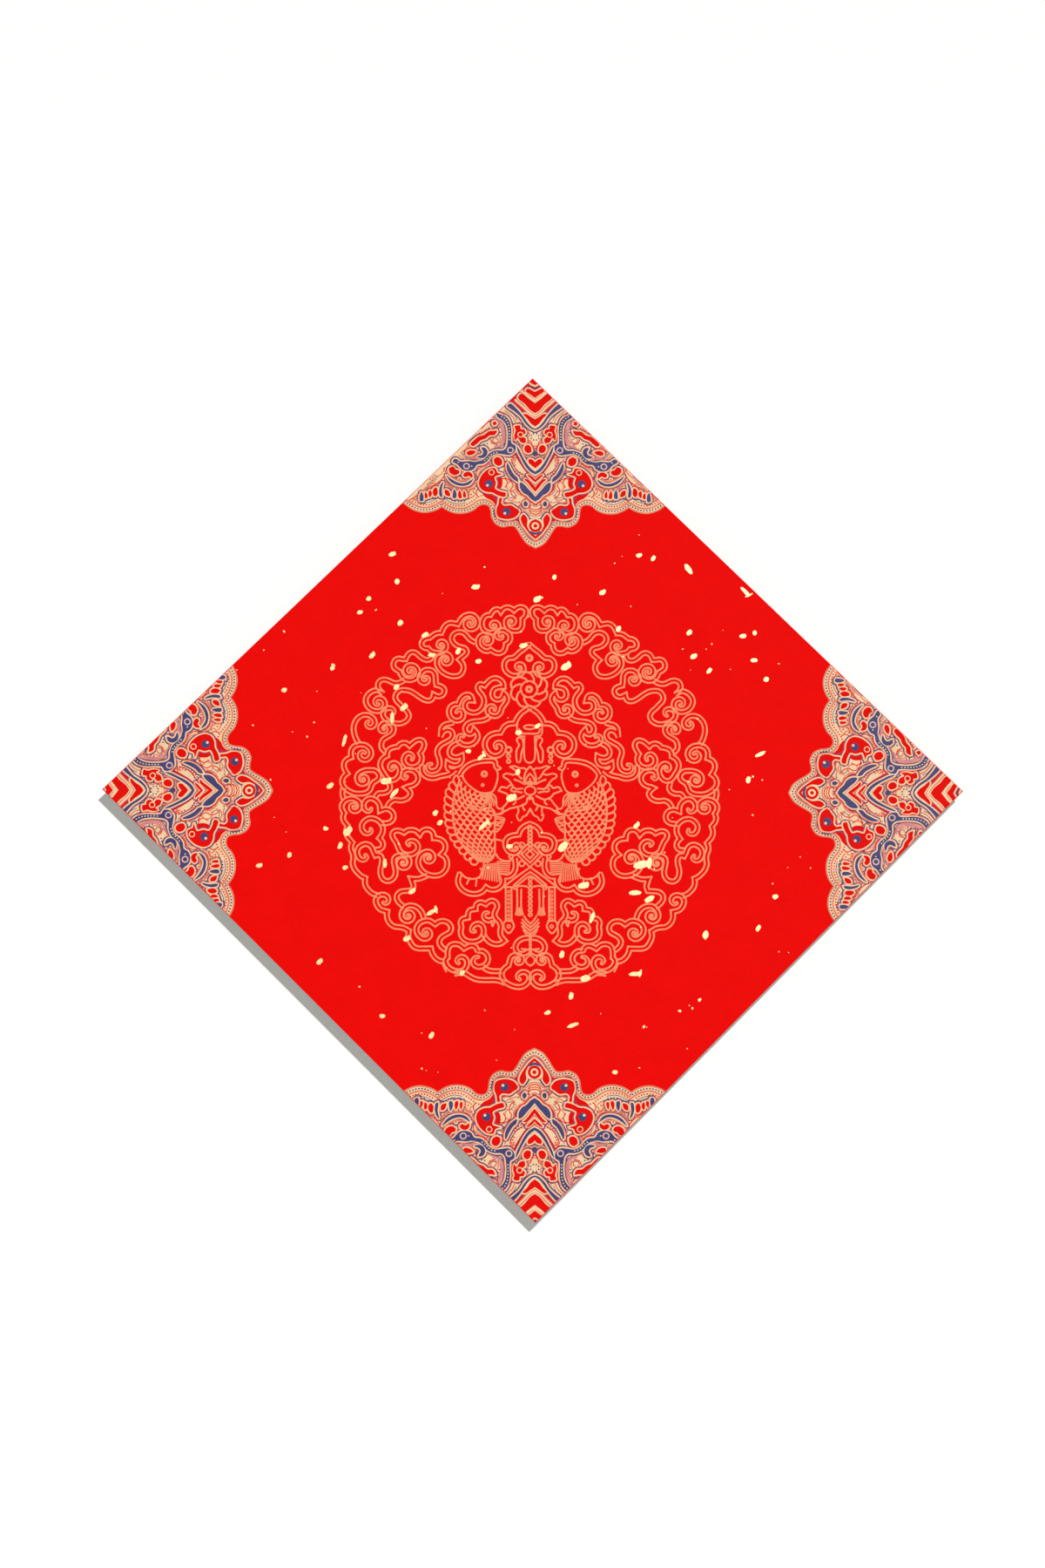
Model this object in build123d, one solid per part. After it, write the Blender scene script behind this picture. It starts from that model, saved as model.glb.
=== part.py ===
"""A red lucky-paper square for a door or wall, hung as a diamond: a laminated card with printed twin carps,
four printed corner brocades and scattered gold-leaf flecks. Millimetres.

Origin: centre of the back face. +Z is up, through the top corner. The printed face looks along -Y.
"""
from build123d import *
import math
import os
import random

# Driving dimensions of the sheet.
SIDE = 340.0
HALF_DIAGONAL = SIDE / math.sqrt(2)

# Thickness of each layer, from the back face forwards.
LINING = 0.10
PASTE = 0.03
CARD = 0.80
FACE = 0.15
INK = 0.05
FLECK = 0.04

# Depth of the back of each layer, measured forwards from the back face.
BACK_PASTE_AT = LINING
CARD_AT = BACK_PASTE_AT + PASTE
FRONT_PASTE_AT = CARD_AT + CARD
FACE_AT = FRONT_PASTE_AT + PASTE
PRINT_AT = FACE_AT + FACE
OVERPRINT_AT = PRINT_AT + INK

# The round medallion sits a little off the sheet's centre.
MEDALLION_X = -2.5
MEDALLION_Z = -2.0
RING_OUTER = 106.0
RING_INNER = 84.0
OUTER_LOBES = 34
INNER_LOBES = 26
LOBE_RISE = 2.6
CURL_RADIUS = 5.0
CURL_EYE = 2.0

# The corner brocade, measured from the middle of the sheet along one diagonal.
CORNER_TIP = 142.0
CORNER_SHOULDER = 164.0
TRIM = 0.4


def layer(sketch, depth, thickness):
    """A sketch drawn as seen from the front, as a film that starts at this depth and grows towards -Y."""
    return extrude(Plane.XZ.offset(depth) * sketch, thickness, dir=(0, -1, 0))


def square_layer(depth, thickness):
    """One full sheet of the laminate, standing on its corner."""
    return layer(Rectangle(SIDE, SIDE, rotation=45), depth, thickness)


def on_medallion(sketch):
    """Moves a sketch drawn about the medallion's own centre to its place on the sheet."""
    return Pos(MEDALLION_X, MEDALLION_Z) * sketch


def both_sides(sketch):
    """The sketch and its mirror image about the upright axis."""
    return sketch + mirror(sketch, about=Plane.YZ)


def scalloped_disc(radius, lobes, rise):
    """A disc whose edge is a row of round lobes."""
    step = 2 * math.pi / lobes
    edges = []
    for k in range(lobes):
        start, middle, end = (step * k, step * (k + 0.5), step * (k + 1))
        edges.append(
            ThreePointArc(
                (radius * math.cos(start), radius * math.sin(start)),
                ((radius + rise) * math.cos(middle), (radius + rise) * math.sin(middle)),
                (radius * math.cos(end), radius * math.sin(end)),
            )
        )
    return make_face(edges)


def cloud(centres, radius=CURL_RADIUS, eye=CURL_EYE):
    """A bank of round cloud curls, each with an open eye."""
    discs = Sketch() + [Pos(x, z) * Circle(radius) for x, z in centres]
    return discs - [Pos(x, z) * Circle(eye) for x, z in centres]


def cloud_ring():
    """The closed ring of clouds round the medallion, with an open eye in each curl."""
    band = scalloped_disc(RING_OUTER - LOBE_RISE, OUTER_LOBES, LOBE_RISE)
    band -= scalloped_disc(RING_INNER, INNER_LOBES, LOBE_RISE)
    middle = (RING_OUTER + RING_INNER) / 2
    step = 2 * math.pi / OUTER_LOBES
    eyes = [
        Pos(middle * math.cos(step * k), middle * math.sin(step * k)) * Circle(CURL_EYE)
        for k in range(OUTER_LOBES)
    ]
    return band - eyes


def inner_clouds():
    """The scrolls inside the ring: a chain above each carp and one bank beside each carp's belly."""
    chain = cloud([(-17, 62), (-24, 52), (-32, 56), (-40, 48), (-37, 38), (-45, 32), (-43, 22), (-53, 24)])
    bank = cloud([(-67, -29), (-57, -36), (-70, -40), (-60, -27)], radius=7)
    foot = cloud([(-23, -69), (-29, -76), (-18, -80)], radius=6)
    return both_sides(chain + bank + foot)


def top_knob():
    """The cloud-head finial and the rosette under it."""
    head = Pos(0, 74) * Polygon((-7, -1), (0, 13), (7, -1), align=None)
    head += both_sides(Pos(-8, 74) * Circle(6.5))
    head += Pos(0, 71) * Rectangle(14, 7)
    head -= Pos(0, 78) * Circle(1.4)
    rosette = Pos(0, 60) * (scalloped_disc(8.2, 12, 1.4) - Circle(2.2))
    return head - Pos(0, 60) * Circle(9.6) + rosette


def chime():
    """The hanging chime: a pointed arch, two lobes and two curls, with a pierced comb below."""
    arch = Pos(0, 36) * Polygon((-9, 0), (0, 14), (9, 0), align=None)
    lobes = Pos(0, 33) * Rectangle(34, 9)
    curls = both_sides(Pos(-19, 27) * (Circle(8) - Circle(3)))
    comb = both_sides(Pos(-8.2, 22) * Rectangle(3.0, 12)) + Pos(0, 22) * Rectangle(3.0, 12)
    return arch + lobes + curls + comb


def lotus():
    """The open lotus flower between the carps."""
    petal_length, petal_width, petals = (16.0, 5.6, 11)
    flower = Circle(4.2)
    for k in range(petals):
        flower += Rot(0, 0, 360 * k / petals + 90) * Pos(petal_length / 2, 0) * Ellipse(petal_length / 2, petal_width / 2)
    return Pos(0, 1) * (flower - Circle(1.5))


def carp():
    """The carp on the left, head up: a crescent body, a swallow tail and an open eye."""
    back = ThreePointArc((-20, 18), (-47, -10), (-27, -43))
    belly = ThreePointArc((-27, -43), (-19, -20), (-17, 8))
    snout = Line((-17, 8), (-20, 18))
    body = make_face([back, belly, snout])
    tail_out = ThreePointArc((-40, -46), (-32, -58), (-13, -50))
    tail_in = ThreePointArc((-13, -50), (-12, -44), (-21, -38))
    tail_root = Line((-21, -38), (-28, -42))
    tail_back = ThreePointArc((-28, -42), (-32, -49), (-40, -46))
    tail = make_face([tail_out, tail_in, tail_root, tail_back])
    return body + tail - Pos(-26, 11) * Circle(1.4)


def knot_and_tassels():
    """The cloud head, the endless knot, the gable and its five bead tassels."""
    head = Pos(0, -26) * Circle(8) - Pos(0, -26) * Circle(5.5)
    rod = Pos(0, -25) * Rectangle(1.8, 16)
    knot = Pos(0, -36.5) * (Rectangle(9, 9, rotation=45) - Rectangle(3.4, 3.4, rotation=45))
    gable = Pos(0, -44) * Polygon((-14, -10), (0, 0), (14, -10), (0, -3.5), align=None)
    posts = both_sides(Pos(-12, -63) * Rectangle(2.4, 18) + Pos(-6, -61) * Rectangle(2.2, 14))
    drops = both_sides(Pos(-12, -75) * Rectangle(3.6, 3.6, rotation=45))
    spine = Pos(0, -70) * Rectangle(2.4, 46)
    return head + rod + knot + gable + posts + drops + spine


def base_cloud():
    """The cloud head that closes the ring at the foot."""
    foot = both_sides(Pos(-6.5, -100) * (Circle(8) - Circle(2.5)))
    shoulders = both_sides(Pos(-7.5, -88) * (Circle(4.5) - Circle(1.5)))
    return foot + shoulders


def corner_outline(inset=0.0):
    """One corner's brocade, drawn at the top corner: straight along the sheet's two edges, lobed inside."""
    top = HALF_DIAGONAL - TRIM - inset
    side = top - CORNER_SHOULDER - inset
    right = [
        ThreePointArc((side, CORNER_SHOULDER), (side - 12, CORNER_SHOULDER - 3), (side - 25, CORNER_SHOULDER)),
        ThreePointArc((side - 25, CORNER_SHOULDER), (side - 39, CORNER_SHOULDER - 3), (25, CORNER_SHOULDER + 2)),
        ThreePointArc((25, CORNER_SHOULDER + 2), (25, 154), (11, 154)),
        ThreePointArc((11, 154), (7, 146), (0, CORNER_TIP + inset)),
    ]
    left = [mirror(edge, about=Plane.YZ) for edge in right]
    edges = [Line((0, top), (side, CORNER_SHOULDER)), Line((0, top), (-side, CORNER_SHOULDER))]
    return make_face(edges + right + left)


def chevron(top, half_width, drop, width):
    """A V-shaped band that points at the middle of the sheet."""
    outer = Polygon(
        (-half_width, top), (0, top - drop), (half_width, top),
        (half_width - width, top + width), (0, top - drop + 1.6 * width), (width - half_width, top + width),
        align=None,
    )
    return outer


def corner_overprint():
    """The navy second colour of one corner: two V bands, a pointed drop and a row of round seeds."""
    bands = chevron(228, 11.5, 18, 2.2) + chevron(192, 15, 16, 2.6) + chevron(181, 17, 14, 3.2)
    seeds = [(14, 203), (20, 196), (31, 190), (42, 185), (22, 178), (16, 160), (38, 199), (28, 205)]
    return bands + both_sides(Sketch() + [Pos(x, z) * Circle(2.0) for x, z in seeds])


def fleck_outline(rng, size):
    """One torn fleck of leaf: an uneven five-sided scrap."""
    points = []
    for k in range(5):
        angle = 2 * math.pi * (k + rng.uniform(-0.2, 0.2)) / 5
        reach = size * rng.uniform(0.6, 1.0)
        points.append((reach * math.cos(angle), 0.6 * reach * math.sin(angle)))
    return Polygon(*points, align=None)


def gold_flecks(count=60, seed=8):
    """Flecks scattered over the plain red field, each a separate scrap lying on the face paper."""
    rng = random.Random(seed)
    gap = 7.0
    placed = []
    while len(placed) < count:
        x, z = (rng.uniform(-CORNER_TIP, CORNER_TIP), rng.uniform(-CORNER_TIP, CORNER_TIP))
        outside_ring = math.hypot(x - MEDALLION_X, z - MEDALLION_Z) > RING_OUTER + gap
        on_sheet = abs(x) + abs(z) < HALF_DIAGONAL - gap
        below_corners = max(abs(x), abs(z)) < CORNER_TIP - gap
        clear = all(math.hypot(x - a, z - b) > gap for a, b in placed)
        if outside_ring and on_sheet and below_corners and clear:
            placed.append((x, z))
    scraps = []
    for x, z in placed:
        scrap = Rot(0, 0, rng.uniform(0, 180)) * fleck_outline(rng, rng.uniform(1.0, 3.0))
        scraps.append(layer(Pos(x, z) * scrap, PRINT_AT, FLECK))
    return Compound(children=scraps)


def build_parts():
    """Every node of the model, by name."""
    nodes = {
        "back_lining_paper": square_layer(0, LINING),
        "back_paste_film": square_layer(BACK_PASTE_AT, PASTE),
        "card_core": square_layer(CARD_AT, CARD),
        "front_paste_film": square_layer(FRONT_PASTE_AT, PASTE),
        "face_paper": square_layer(FACE_AT, FACE),
    }
    motifs = {
        "cloud_ring_print": cloud_ring(),
        "inner_clouds_print": inner_clouds(),
        "rosette_print": top_knob(),
        "chime_print": chime(),
        "lotus_print": lotus(),
        "left_carp_print": carp(),
        "right_carp_print": mirror(carp(), about=Plane.YZ),
        "knot_and_tassels_print": knot_and_tassels(),
        "base_cloud_print": base_cloud(),
    }
    taken = Sketch()
    for name, motif in motifs.items():
        free = motif - taken if taken.faces() else motif
        nodes[name] = layer(on_medallion(free), PRINT_AT, INK)
        taken += motif
    for k, place in enumerate(("top", "left", "bottom", "right")):
        turn = Rot(0, 0, 90 * k)
        nodes[f"{place}_corner_gold_print"] = layer(turn * corner_outline(), PRINT_AT, INK)
        nodes[f"{place}_corner_navy_print"] = layer(turn * corner_overprint(), OVERPRINT_AT, INK)
    nodes["gold_flecks"] = gold_flecks()
    return nodes


os.makedirs("parts", exist_ok=True)
for node, shape in build_parts().items():
    export_step(shape, f"parts/{node}.step")
    print(f"{node}: {len(shape.solids())} solids, {shape.volume:.2f} mm3")
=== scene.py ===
"""A red lucky-paper square, hung on its corner in front of a pale wall.

The sheet is five laminated layers. On its red face are a round medallion of printed lines, a brocade in each
corner and scattered gold-leaf flecks. The medallion shows twin carps, clouds, a chime, a lotus and tassels.
Drawings are in millimetres on the face, x to the right and z up; meshes are in metres in the part's frame.
"""
import math

import bmesh
import bpy
import numpy as np
from mathutils import Matrix, Vector


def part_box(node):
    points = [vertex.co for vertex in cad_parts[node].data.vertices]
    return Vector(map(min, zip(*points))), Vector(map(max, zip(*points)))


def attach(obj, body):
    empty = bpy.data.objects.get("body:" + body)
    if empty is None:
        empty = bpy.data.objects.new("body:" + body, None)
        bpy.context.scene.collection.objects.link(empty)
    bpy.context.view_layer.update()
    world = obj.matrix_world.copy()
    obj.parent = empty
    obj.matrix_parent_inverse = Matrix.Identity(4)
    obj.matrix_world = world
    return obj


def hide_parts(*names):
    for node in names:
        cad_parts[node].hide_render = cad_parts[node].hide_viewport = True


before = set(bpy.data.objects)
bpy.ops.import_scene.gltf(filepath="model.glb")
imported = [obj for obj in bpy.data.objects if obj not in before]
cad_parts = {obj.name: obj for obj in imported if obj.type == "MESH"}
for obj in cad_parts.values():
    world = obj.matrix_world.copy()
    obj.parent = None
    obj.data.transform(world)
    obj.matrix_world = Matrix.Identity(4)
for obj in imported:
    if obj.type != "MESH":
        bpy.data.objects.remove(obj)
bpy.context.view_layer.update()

MM = 0.001

# Where the printed face lies, and how far the sheet reaches from its middle along a diagonal.
PAPER_FRONT = -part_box("face_paper")[0].y / MM
HALF_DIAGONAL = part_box("face_paper")[1].z / MM

# Printed ink: how deep it soaks in, how high it stands, and the bare margin at the sheet's cut edges.
SOAK = 0.012
INK = 0.05
TRIM = 0.35

# Line drawing: the spacing of points, the usual width, and the points in one turn of a scroll.
STEP = 0.7
LINE = 1.08
SCROLL_POINTS = 14
# Doubled lines: half their spacing, which narrows over the taper to the bulb at an end. Gaps at corners are
# closed up to the reach, and points nearer to their own stroke than the clearance, a share of that half
# spacing, are dropped.
TWIN_GAP = 1.12
BULB_GAP = 0.62
BULB_TAPER = 6.0
CORNER_REACH = 3.0
CLEARANCE = 0.93
# Two directions whose cross product is under this are taken as parallel.
NEARLY_PARALLEL = 0.05
# The half-round nib at a line's end: its points, in degrees round from square across the line.
NIB_ANGLES = (88, 66, 40, 18)

# Middle of the medallion drawing, left to right.
MEDALLION_AXIS = -2.4


# ---------------------------------------------------------------------------------------------------------
# Drawing notation. Strokes end with a semicolon. "x,z" is a point that the line passes smoothly, "x,z^" is a
# sharp corner and "x,zo" is an end that closes in a round bulb. "@x,z,turns,r" winds inwards from its
# neighbour about (x, z) to radius r, anticlockwise for positive turns. A last "z" closes the stroke.
# ---------------------------------------------------------------------------------------------------------

def scroll(centre, turns, end_radius, start):
    """Points that wind inwards from the start about the centre."""
    reach = np.array(start) - centre
    radius = math.hypot(*reach)
    angle = math.atan2(reach[1], reach[0])
    count = max(4, round(abs(turns) * SCROLL_POINTS))
    share = np.arange(1, count + 1) / count
    turned = angle + math.tau * turns * share
    shrunk = radius + (end_radius - radius) * share
    return [centre + r * np.array([math.cos(a), math.sin(a)]) for a, r in zip(turned, shrunk)]


def read_strokes(text):
    """Reads the notation: for each stroke, its runs between corners, bulb at start, bulb at end, closed."""
    strokes = []
    for words in (part.split() for part in text.split(";")):
        if not words:
            continue
        closed = words[-1] == "z"
        if closed:
            words = words[:-1]
        winding = {i: [float(v) for v in word[1:].split(",")]
                   for i, word in enumerate(words) if word[0] == "@"}
        plain = [word for word in words if word[0] != "@"]
        points = [np.array([float(v) for v in word.rstrip("^o").split(",")]) for word in plain]
        corners = [word.endswith("^") for word in plain]
        bulb_start = plain[0].endswith("o")
        bulb_end = plain[-1].endswith("o")
        if 0 in winding:
            x, z, turns, radius = winding[0]
            inner = scroll(np.array([x, z]), turns, radius, points[0])
            points = inner[::-1] + points
            corners = [False] * len(inner) + corners
            bulb_start = True
        if len(words) - 1 in winding:
            x, z, turns, radius = winding[len(words) - 1]
            inner = scroll(np.array([x, z]), turns, radius, points[-1])
            points += inner
            corners += [False] * len(inner)
            bulb_end = True
        runs = [[points[0]]]
        for point, corner in zip(points[1:], corners[1:]):
            runs[-1].append(point)
            if corner:
                runs.append([point])
        if closed:
            runs[-1].append(points[0])
        runs = [run for run in runs if len(run) > 1]
        strokes.append((runs, bulb_start, bulb_end, closed))
    return strokes


def smooth(points, ring=False):
    """A centripetal Catmull-Rom line through the points, with a point about every STEP."""
    if ring:
        chain = [points[-2], *points, points[1]]
    else:
        chain = [2 * points[0] - points[1], *points, 2 * points[-1] - points[-2]]
    line = []
    for a, b, c, d in zip(chain, chain[1:], chain[2:], chain[3:]):
        t1 = math.dist(a, b) ** 0.5
        t2 = t1 + math.dist(b, c) ** 0.5
        t3 = t2 + math.dist(c, d) ** 0.5
        count = max(1, round(math.dist(b, c) / STEP))
        t = np.linspace(t1, t2, count, endpoint=False)[:, None]
        ab = a + (b - a) * t / t1
        bc = b + (c - b) * (t - t1) / (t2 - t1)
        cd = c + (d - c) * (t - t2) / (t3 - t2)
        abc = ab + (bc - ab) * t / t2
        bcd = bc + (cd - bc) * (t - t1) / (t3 - t1)
        line.extend(abc + (bcd - abc) * (t - t1) / (t2 - t1))
    line.append(points[-1])
    return np.array(line)


def headings(line):
    """Unit direction of travel at each point of a line."""
    along = np.gradient(line, axis=0)
    return along / np.linalg.norm(along, axis=1)[:, None]


def left_of(along):
    """The directions a quarter turn anticlockwise from these."""
    return np.stack([-along[:, 1], along[:, 0]], axis=1)


def travel(line):
    """Distance along the line to each of its points."""
    return np.concatenate([[0.0], np.cumsum(np.linalg.norm(np.diff(line, axis=0), axis=1))])


def crossing(p, along_p, q, along_q):
    """Where two rays from line ends meet, if that is within reach of both."""
    det = along_p[0] * along_q[1] - along_p[1] * along_q[0]
    if abs(det) < NEARLY_PARALLEL:
        return None
    gap = q - p
    reach_p = (gap[0] * along_q[1] - gap[1] * along_q[0]) / det
    reach_q = (gap[0] * along_p[1] - gap[1] * along_p[0]) / det
    if 0 <= reach_p <= CORNER_REACH and 0 <= reach_q <= CORNER_REACH:
        return p + reach_p * along_p
    return None


def beside(runs, gap_of, side):
    """The line that keeps its gap from a stroke on one side, a part for each run, its corners closed."""
    parts = []
    for i, run in enumerate(runs):
        gap = gap_of[i][:, None]
        moved = run + side * gap * left_of(headings(run))
        place = travel(run)
        clear = np.ones(len(run), bool)
        for j in (i - 1, i, i + 1):
            if not 0 <= j < len(runs):
                continue
            away = np.linalg.norm(moved[:, None] - runs[j][None], axis=2)
            if j == i:
                away[np.abs(place[:, None] - place[None]) > 5 * TWIN_GAP] = np.inf
            clear &= (away >= CLEARANCE * gap).all(axis=1)
        parts.append((moved, clear, headings(run)))
    lines = [moved[clear] for moved, clear, _ in parts]
    for i in range(len(runs) - 1):
        before, clear_before, along_before = parts[i]
        after, clear_after, along_after = parts[i + 1]
        if not (clear_before[-1] and clear_after[0]):
            continue
        meet = crossing(before[-1], along_before[-1], after[0], -along_after[0])
        if meet is not None:
            lines[i] = np.vstack([lines[i], meet])
            lines[i + 1] = np.vstack([meet, lines[i + 1]])
    return [line for line in lines if len(line) > 1]


def twin(text):
    """Doubled lines: each stroke becomes two parallel lines, joined round its bulb ends."""
    lines = []
    for points, bulb_start, bulb_end, _ in read_strokes(text):
        runs = [smooth(run) for run in points]
        gaps = [np.full(len(run), TWIN_GAP) for run in runs]
        if bulb_start:
            share = np.minimum(1, travel(runs[0]) / BULB_TAPER)
            gaps[0] = BULB_GAP + (gaps[0] - BULB_GAP) * share
        if bulb_end:
            place = travel(runs[-1])
            share = np.minimum(1, (place[-1] - place) / BULB_TAPER)
            gaps[-1] = BULB_GAP + (gaps[-1] - BULB_GAP) * share
        for side in (1, -1):
            lines += beside(runs, gaps, side)
        for bulb, run, end in ((bulb_start, runs[0], 0), (bulb_end, runs[-1], -1)):
            if bulb:
                outward = headings(run)[end] * (1 if end else -1)
                first = math.atan2(outward[1], outward[0]) - math.pi / 2
                angles = first + np.linspace(0, math.pi, 7)
                lines.append(run[end] + BULB_GAP * np.stack([np.cos(angles), np.sin(angles)], axis=1))
    return lines


def single(text):
    """Plain lines along the strokes themselves."""
    lines = []
    for points, _, _, closed in read_strokes(text):
        ring = closed and len(points) == 1
        lines += [smooth(run, ring) for run in points]
    return lines


def outlines(text):
    """Closed outlines, for filled shapes."""
    shapes = []
    for points, _, _, _ in read_strokes(text):
        if len(points) == 1:
            shapes.append(smooth(points[0], ring=True)[:-1])
        else:
            shapes.append(np.vstack([smooth(run)[:-1] for run in points]))
    return shapes


def mirrored(lines, axis=MEDALLION_AXIS):
    """The lines and their mirror images about an upright axis; a line on the axis stays single."""
    return lines + flipped([line for line in lines if np.abs(line[:, 0] - axis).max() > 0.2], axis)


def flipped(lines, axis=MEDALLION_AXIS):
    """Only the mirror images."""
    return [line * (-1, 1) + (2 * axis, 0) for line in lines]


def circle(x, z, radius, sides=20):
    """A round outline."""
    angles = np.linspace(0, math.tau, sides, endpoint=False)
    return np.array([x, z]) + radius * np.stack([np.cos(angles), np.sin(angles)], axis=1)


def oval(x, z, across, up, turn=0.0, sides=20):
    """An oval outline, turned anticlockwise by degrees."""
    angles = np.linspace(0, math.tau, sides, endpoint=False)
    c, s = math.cos(math.radians(turn)), math.sin(math.radians(turn))
    px, pz = across * np.cos(angles), up * np.sin(angles)
    return np.array([x, z]) + np.stack([c * px - s * pz, s * px + c * pz], axis=1)


def round_trip(shapes):
    """Outlines made into lines that end where they start."""
    return [np.vstack([shape, shape[:1]]) for shape in shapes]


# ---------------------------------------------------------------------------------------------------------
# Geometry node trees. Each is drawn flat, in millimetres, with the ink rising along +Z.
# ---------------------------------------------------------------------------------------------------------

def node(tree, kind, inputs=None, **settings):
    """Adds a node, sets its properties, and gives its sockets values or links."""
    made = tree.nodes.new(kind)
    for name, value in settings.items():
        setattr(made, name, value)
    for socket, value in (inputs or {}).items():
        if isinstance(value, bpy.types.NodeSocket):
            tree.links.new(value, made.inputs[socket])
        else:
            made.inputs[socket].default_value = value
    return made


def start_tree(name, **sizes):
    """A geometry node group with a mesh input, the named sizes, a material and a mesh output."""
    tree = bpy.data.node_groups.new(name, "GeometryNodeTree")
    tree.interface.new_socket("Mesh", in_out="INPUT", socket_type="NodeSocketGeometry")
    for size, value in sizes.items():
        label = size.replace("_", " ")
        socket = tree.interface.new_socket(label, in_out="INPUT", socket_type="NodeSocketFloat")
        socket.default_value = value
    tree.interface.new_socket("Material", in_out="INPUT", socket_type="NodeSocketMaterial")
    tree.interface.new_socket("Mesh", in_out="OUTPUT", socket_type="NodeSocketGeometry")
    return tree, tree.nodes.new("NodeGroupInput")


def end_tree(tree, mesh, given):
    """Realizes what was made, gives it its material and hands it on."""
    real = node(tree, "GeometryNodeRealizeInstances", {0: mesh})
    coated = node(tree, "GeometryNodeSetMaterial",
                  {"Geometry": real.outputs[0], "Material": given.outputs["Material"]})
    node(tree, "NodeGroupOutput", {0: coated.outputs[0]})
    return tree


def domed_profile(tree, width, height):
    """The cross section of a printed line: flat below and softly domed above."""
    arc = node(tree, "GeometryNodeCurveArc",
               {"Resolution": 5, "Radius": 1.0, "Start Angle": math.pi, "Sweep Angle": math.pi})
    shut = node(tree, "GeometryNodeSetSplineCyclic", {"Geometry": arc.outputs["Curve"], "Cyclic": True})
    half = node(tree, "ShaderNodeMath", {0: width, 1: 0.5}, operation="MULTIPLY")
    size = node(tree, "ShaderNodeCombineXYZ", {"X": half.outputs[0], "Y": height, "Z": 1.0})
    scaled = node(tree, "GeometryNodeTransform", {"Geometry": shut.outputs[0], "Scale": size.outputs[0]})
    return scaled.outputs[0]


def printed_line_tree():
    """Follows the drawn lines with a domed bead of ink; the "nib" attribute rounds off the ends."""
    tree, given = start_tree("printed line", Line_width=LINE, Ink_height=INK)
    curve = node(tree, "GeometryNodeMeshToCurve", {"Mesh": given.outputs["Mesh"]})
    flat = node(tree, "GeometryNodeSetCurveNormal", {"Curve": curve.outputs[0]}, mode="Z_UP")
    nib = node(tree, "GeometryNodeInputNamedAttribute", {"Name": "nib"}, data_type="FLOAT")
    sized = node(tree, "GeometryNodeSetCurveRadius",
                 {"Curve": flat.outputs[0], "Radius": nib.outputs["Attribute"]})
    profile = domed_profile(tree, given.outputs["Line width"], given.outputs["Ink height"])
    swept = node(tree, "GeometryNodeCurveToMesh",
                 {"Curve": sized.outputs[0], "Profile Curve": profile, "Fill Caps": True})
    return end_tree(tree, swept.outputs[0], given)


def filled_patch_tree():
    """Fills closed outlines, those with one "patch" number together, and raises them to the ink's height."""
    tree, given = start_tree("filled patch", Ink_height=INK)
    curve = node(tree, "GeometryNodeMeshToCurve", {"Mesh": given.outputs["Mesh"]})
    patch = node(tree, "GeometryNodeInputNamedAttribute", {"Name": "patch"}, data_type="INT")
    flat = node(tree, "GeometryNodeFillCurve",
                {"Curve": curve.outputs[0], "Group ID": patch.outputs["Attribute"]}, mode="TRIANGLES")
    raised = node(tree, "GeometryNodeExtrudeMesh",
                  {"Mesh": flat.outputs[0], "Offset": (0, 0, 1), "Offset Scale": given.outputs["Ink height"],
                   "Individual": False})
    under = node(tree, "GeometryNodeFlipFaces", {"Mesh": flat.outputs[0]})
    both = node(tree, "GeometryNodeJoinGeometry")
    tree.links.new(raised.outputs["Mesh"], both.inputs[0])
    tree.links.new(under.outputs[0], both.inputs[0])
    shut = node(tree, "GeometryNodeMergeByDistance", {"Geometry": both.outputs[0], "Distance": 0.0005})
    return end_tree(tree, shut.outputs[0], given)


def bead_ring_tree():
    """A round bead with a hole on every point."""
    tree, given = start_tree("bead ring", Outer_radius=1.6, Hole_radius=0.5, Ink_height=INK)
    outer, hole = given.outputs["Outer radius"], given.outputs["Hole radius"]
    total = node(tree, "ShaderNodeMath", {0: outer, 1: hole}, operation="ADD")
    middle = node(tree, "ShaderNodeMath", {0: total.outputs[0], 1: 0.5}, operation="MULTIPLY")
    width = node(tree, "ShaderNodeMath", {0: outer, 1: hole}, operation="SUBTRACT")
    loop = node(tree, "GeometryNodeCurvePrimitiveCircle", {"Resolution": 14, "Radius": middle.outputs[0]})
    level = node(tree, "GeometryNodeSetCurveNormal", {"Curve": loop.outputs[0]}, mode="Z_UP")
    profile = domed_profile(tree, width.outputs[0], given.outputs["Ink height"])
    ring = node(tree, "GeometryNodeCurveToMesh", {"Curve": level.outputs[0], "Profile Curve": profile})
    placed = node(tree, "GeometryNodeInstanceOnPoints",
                  {"Points": given.outputs["Mesh"], "Instance": ring.outputs[0]})
    return end_tree(tree, placed.outputs[0], given)


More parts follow.
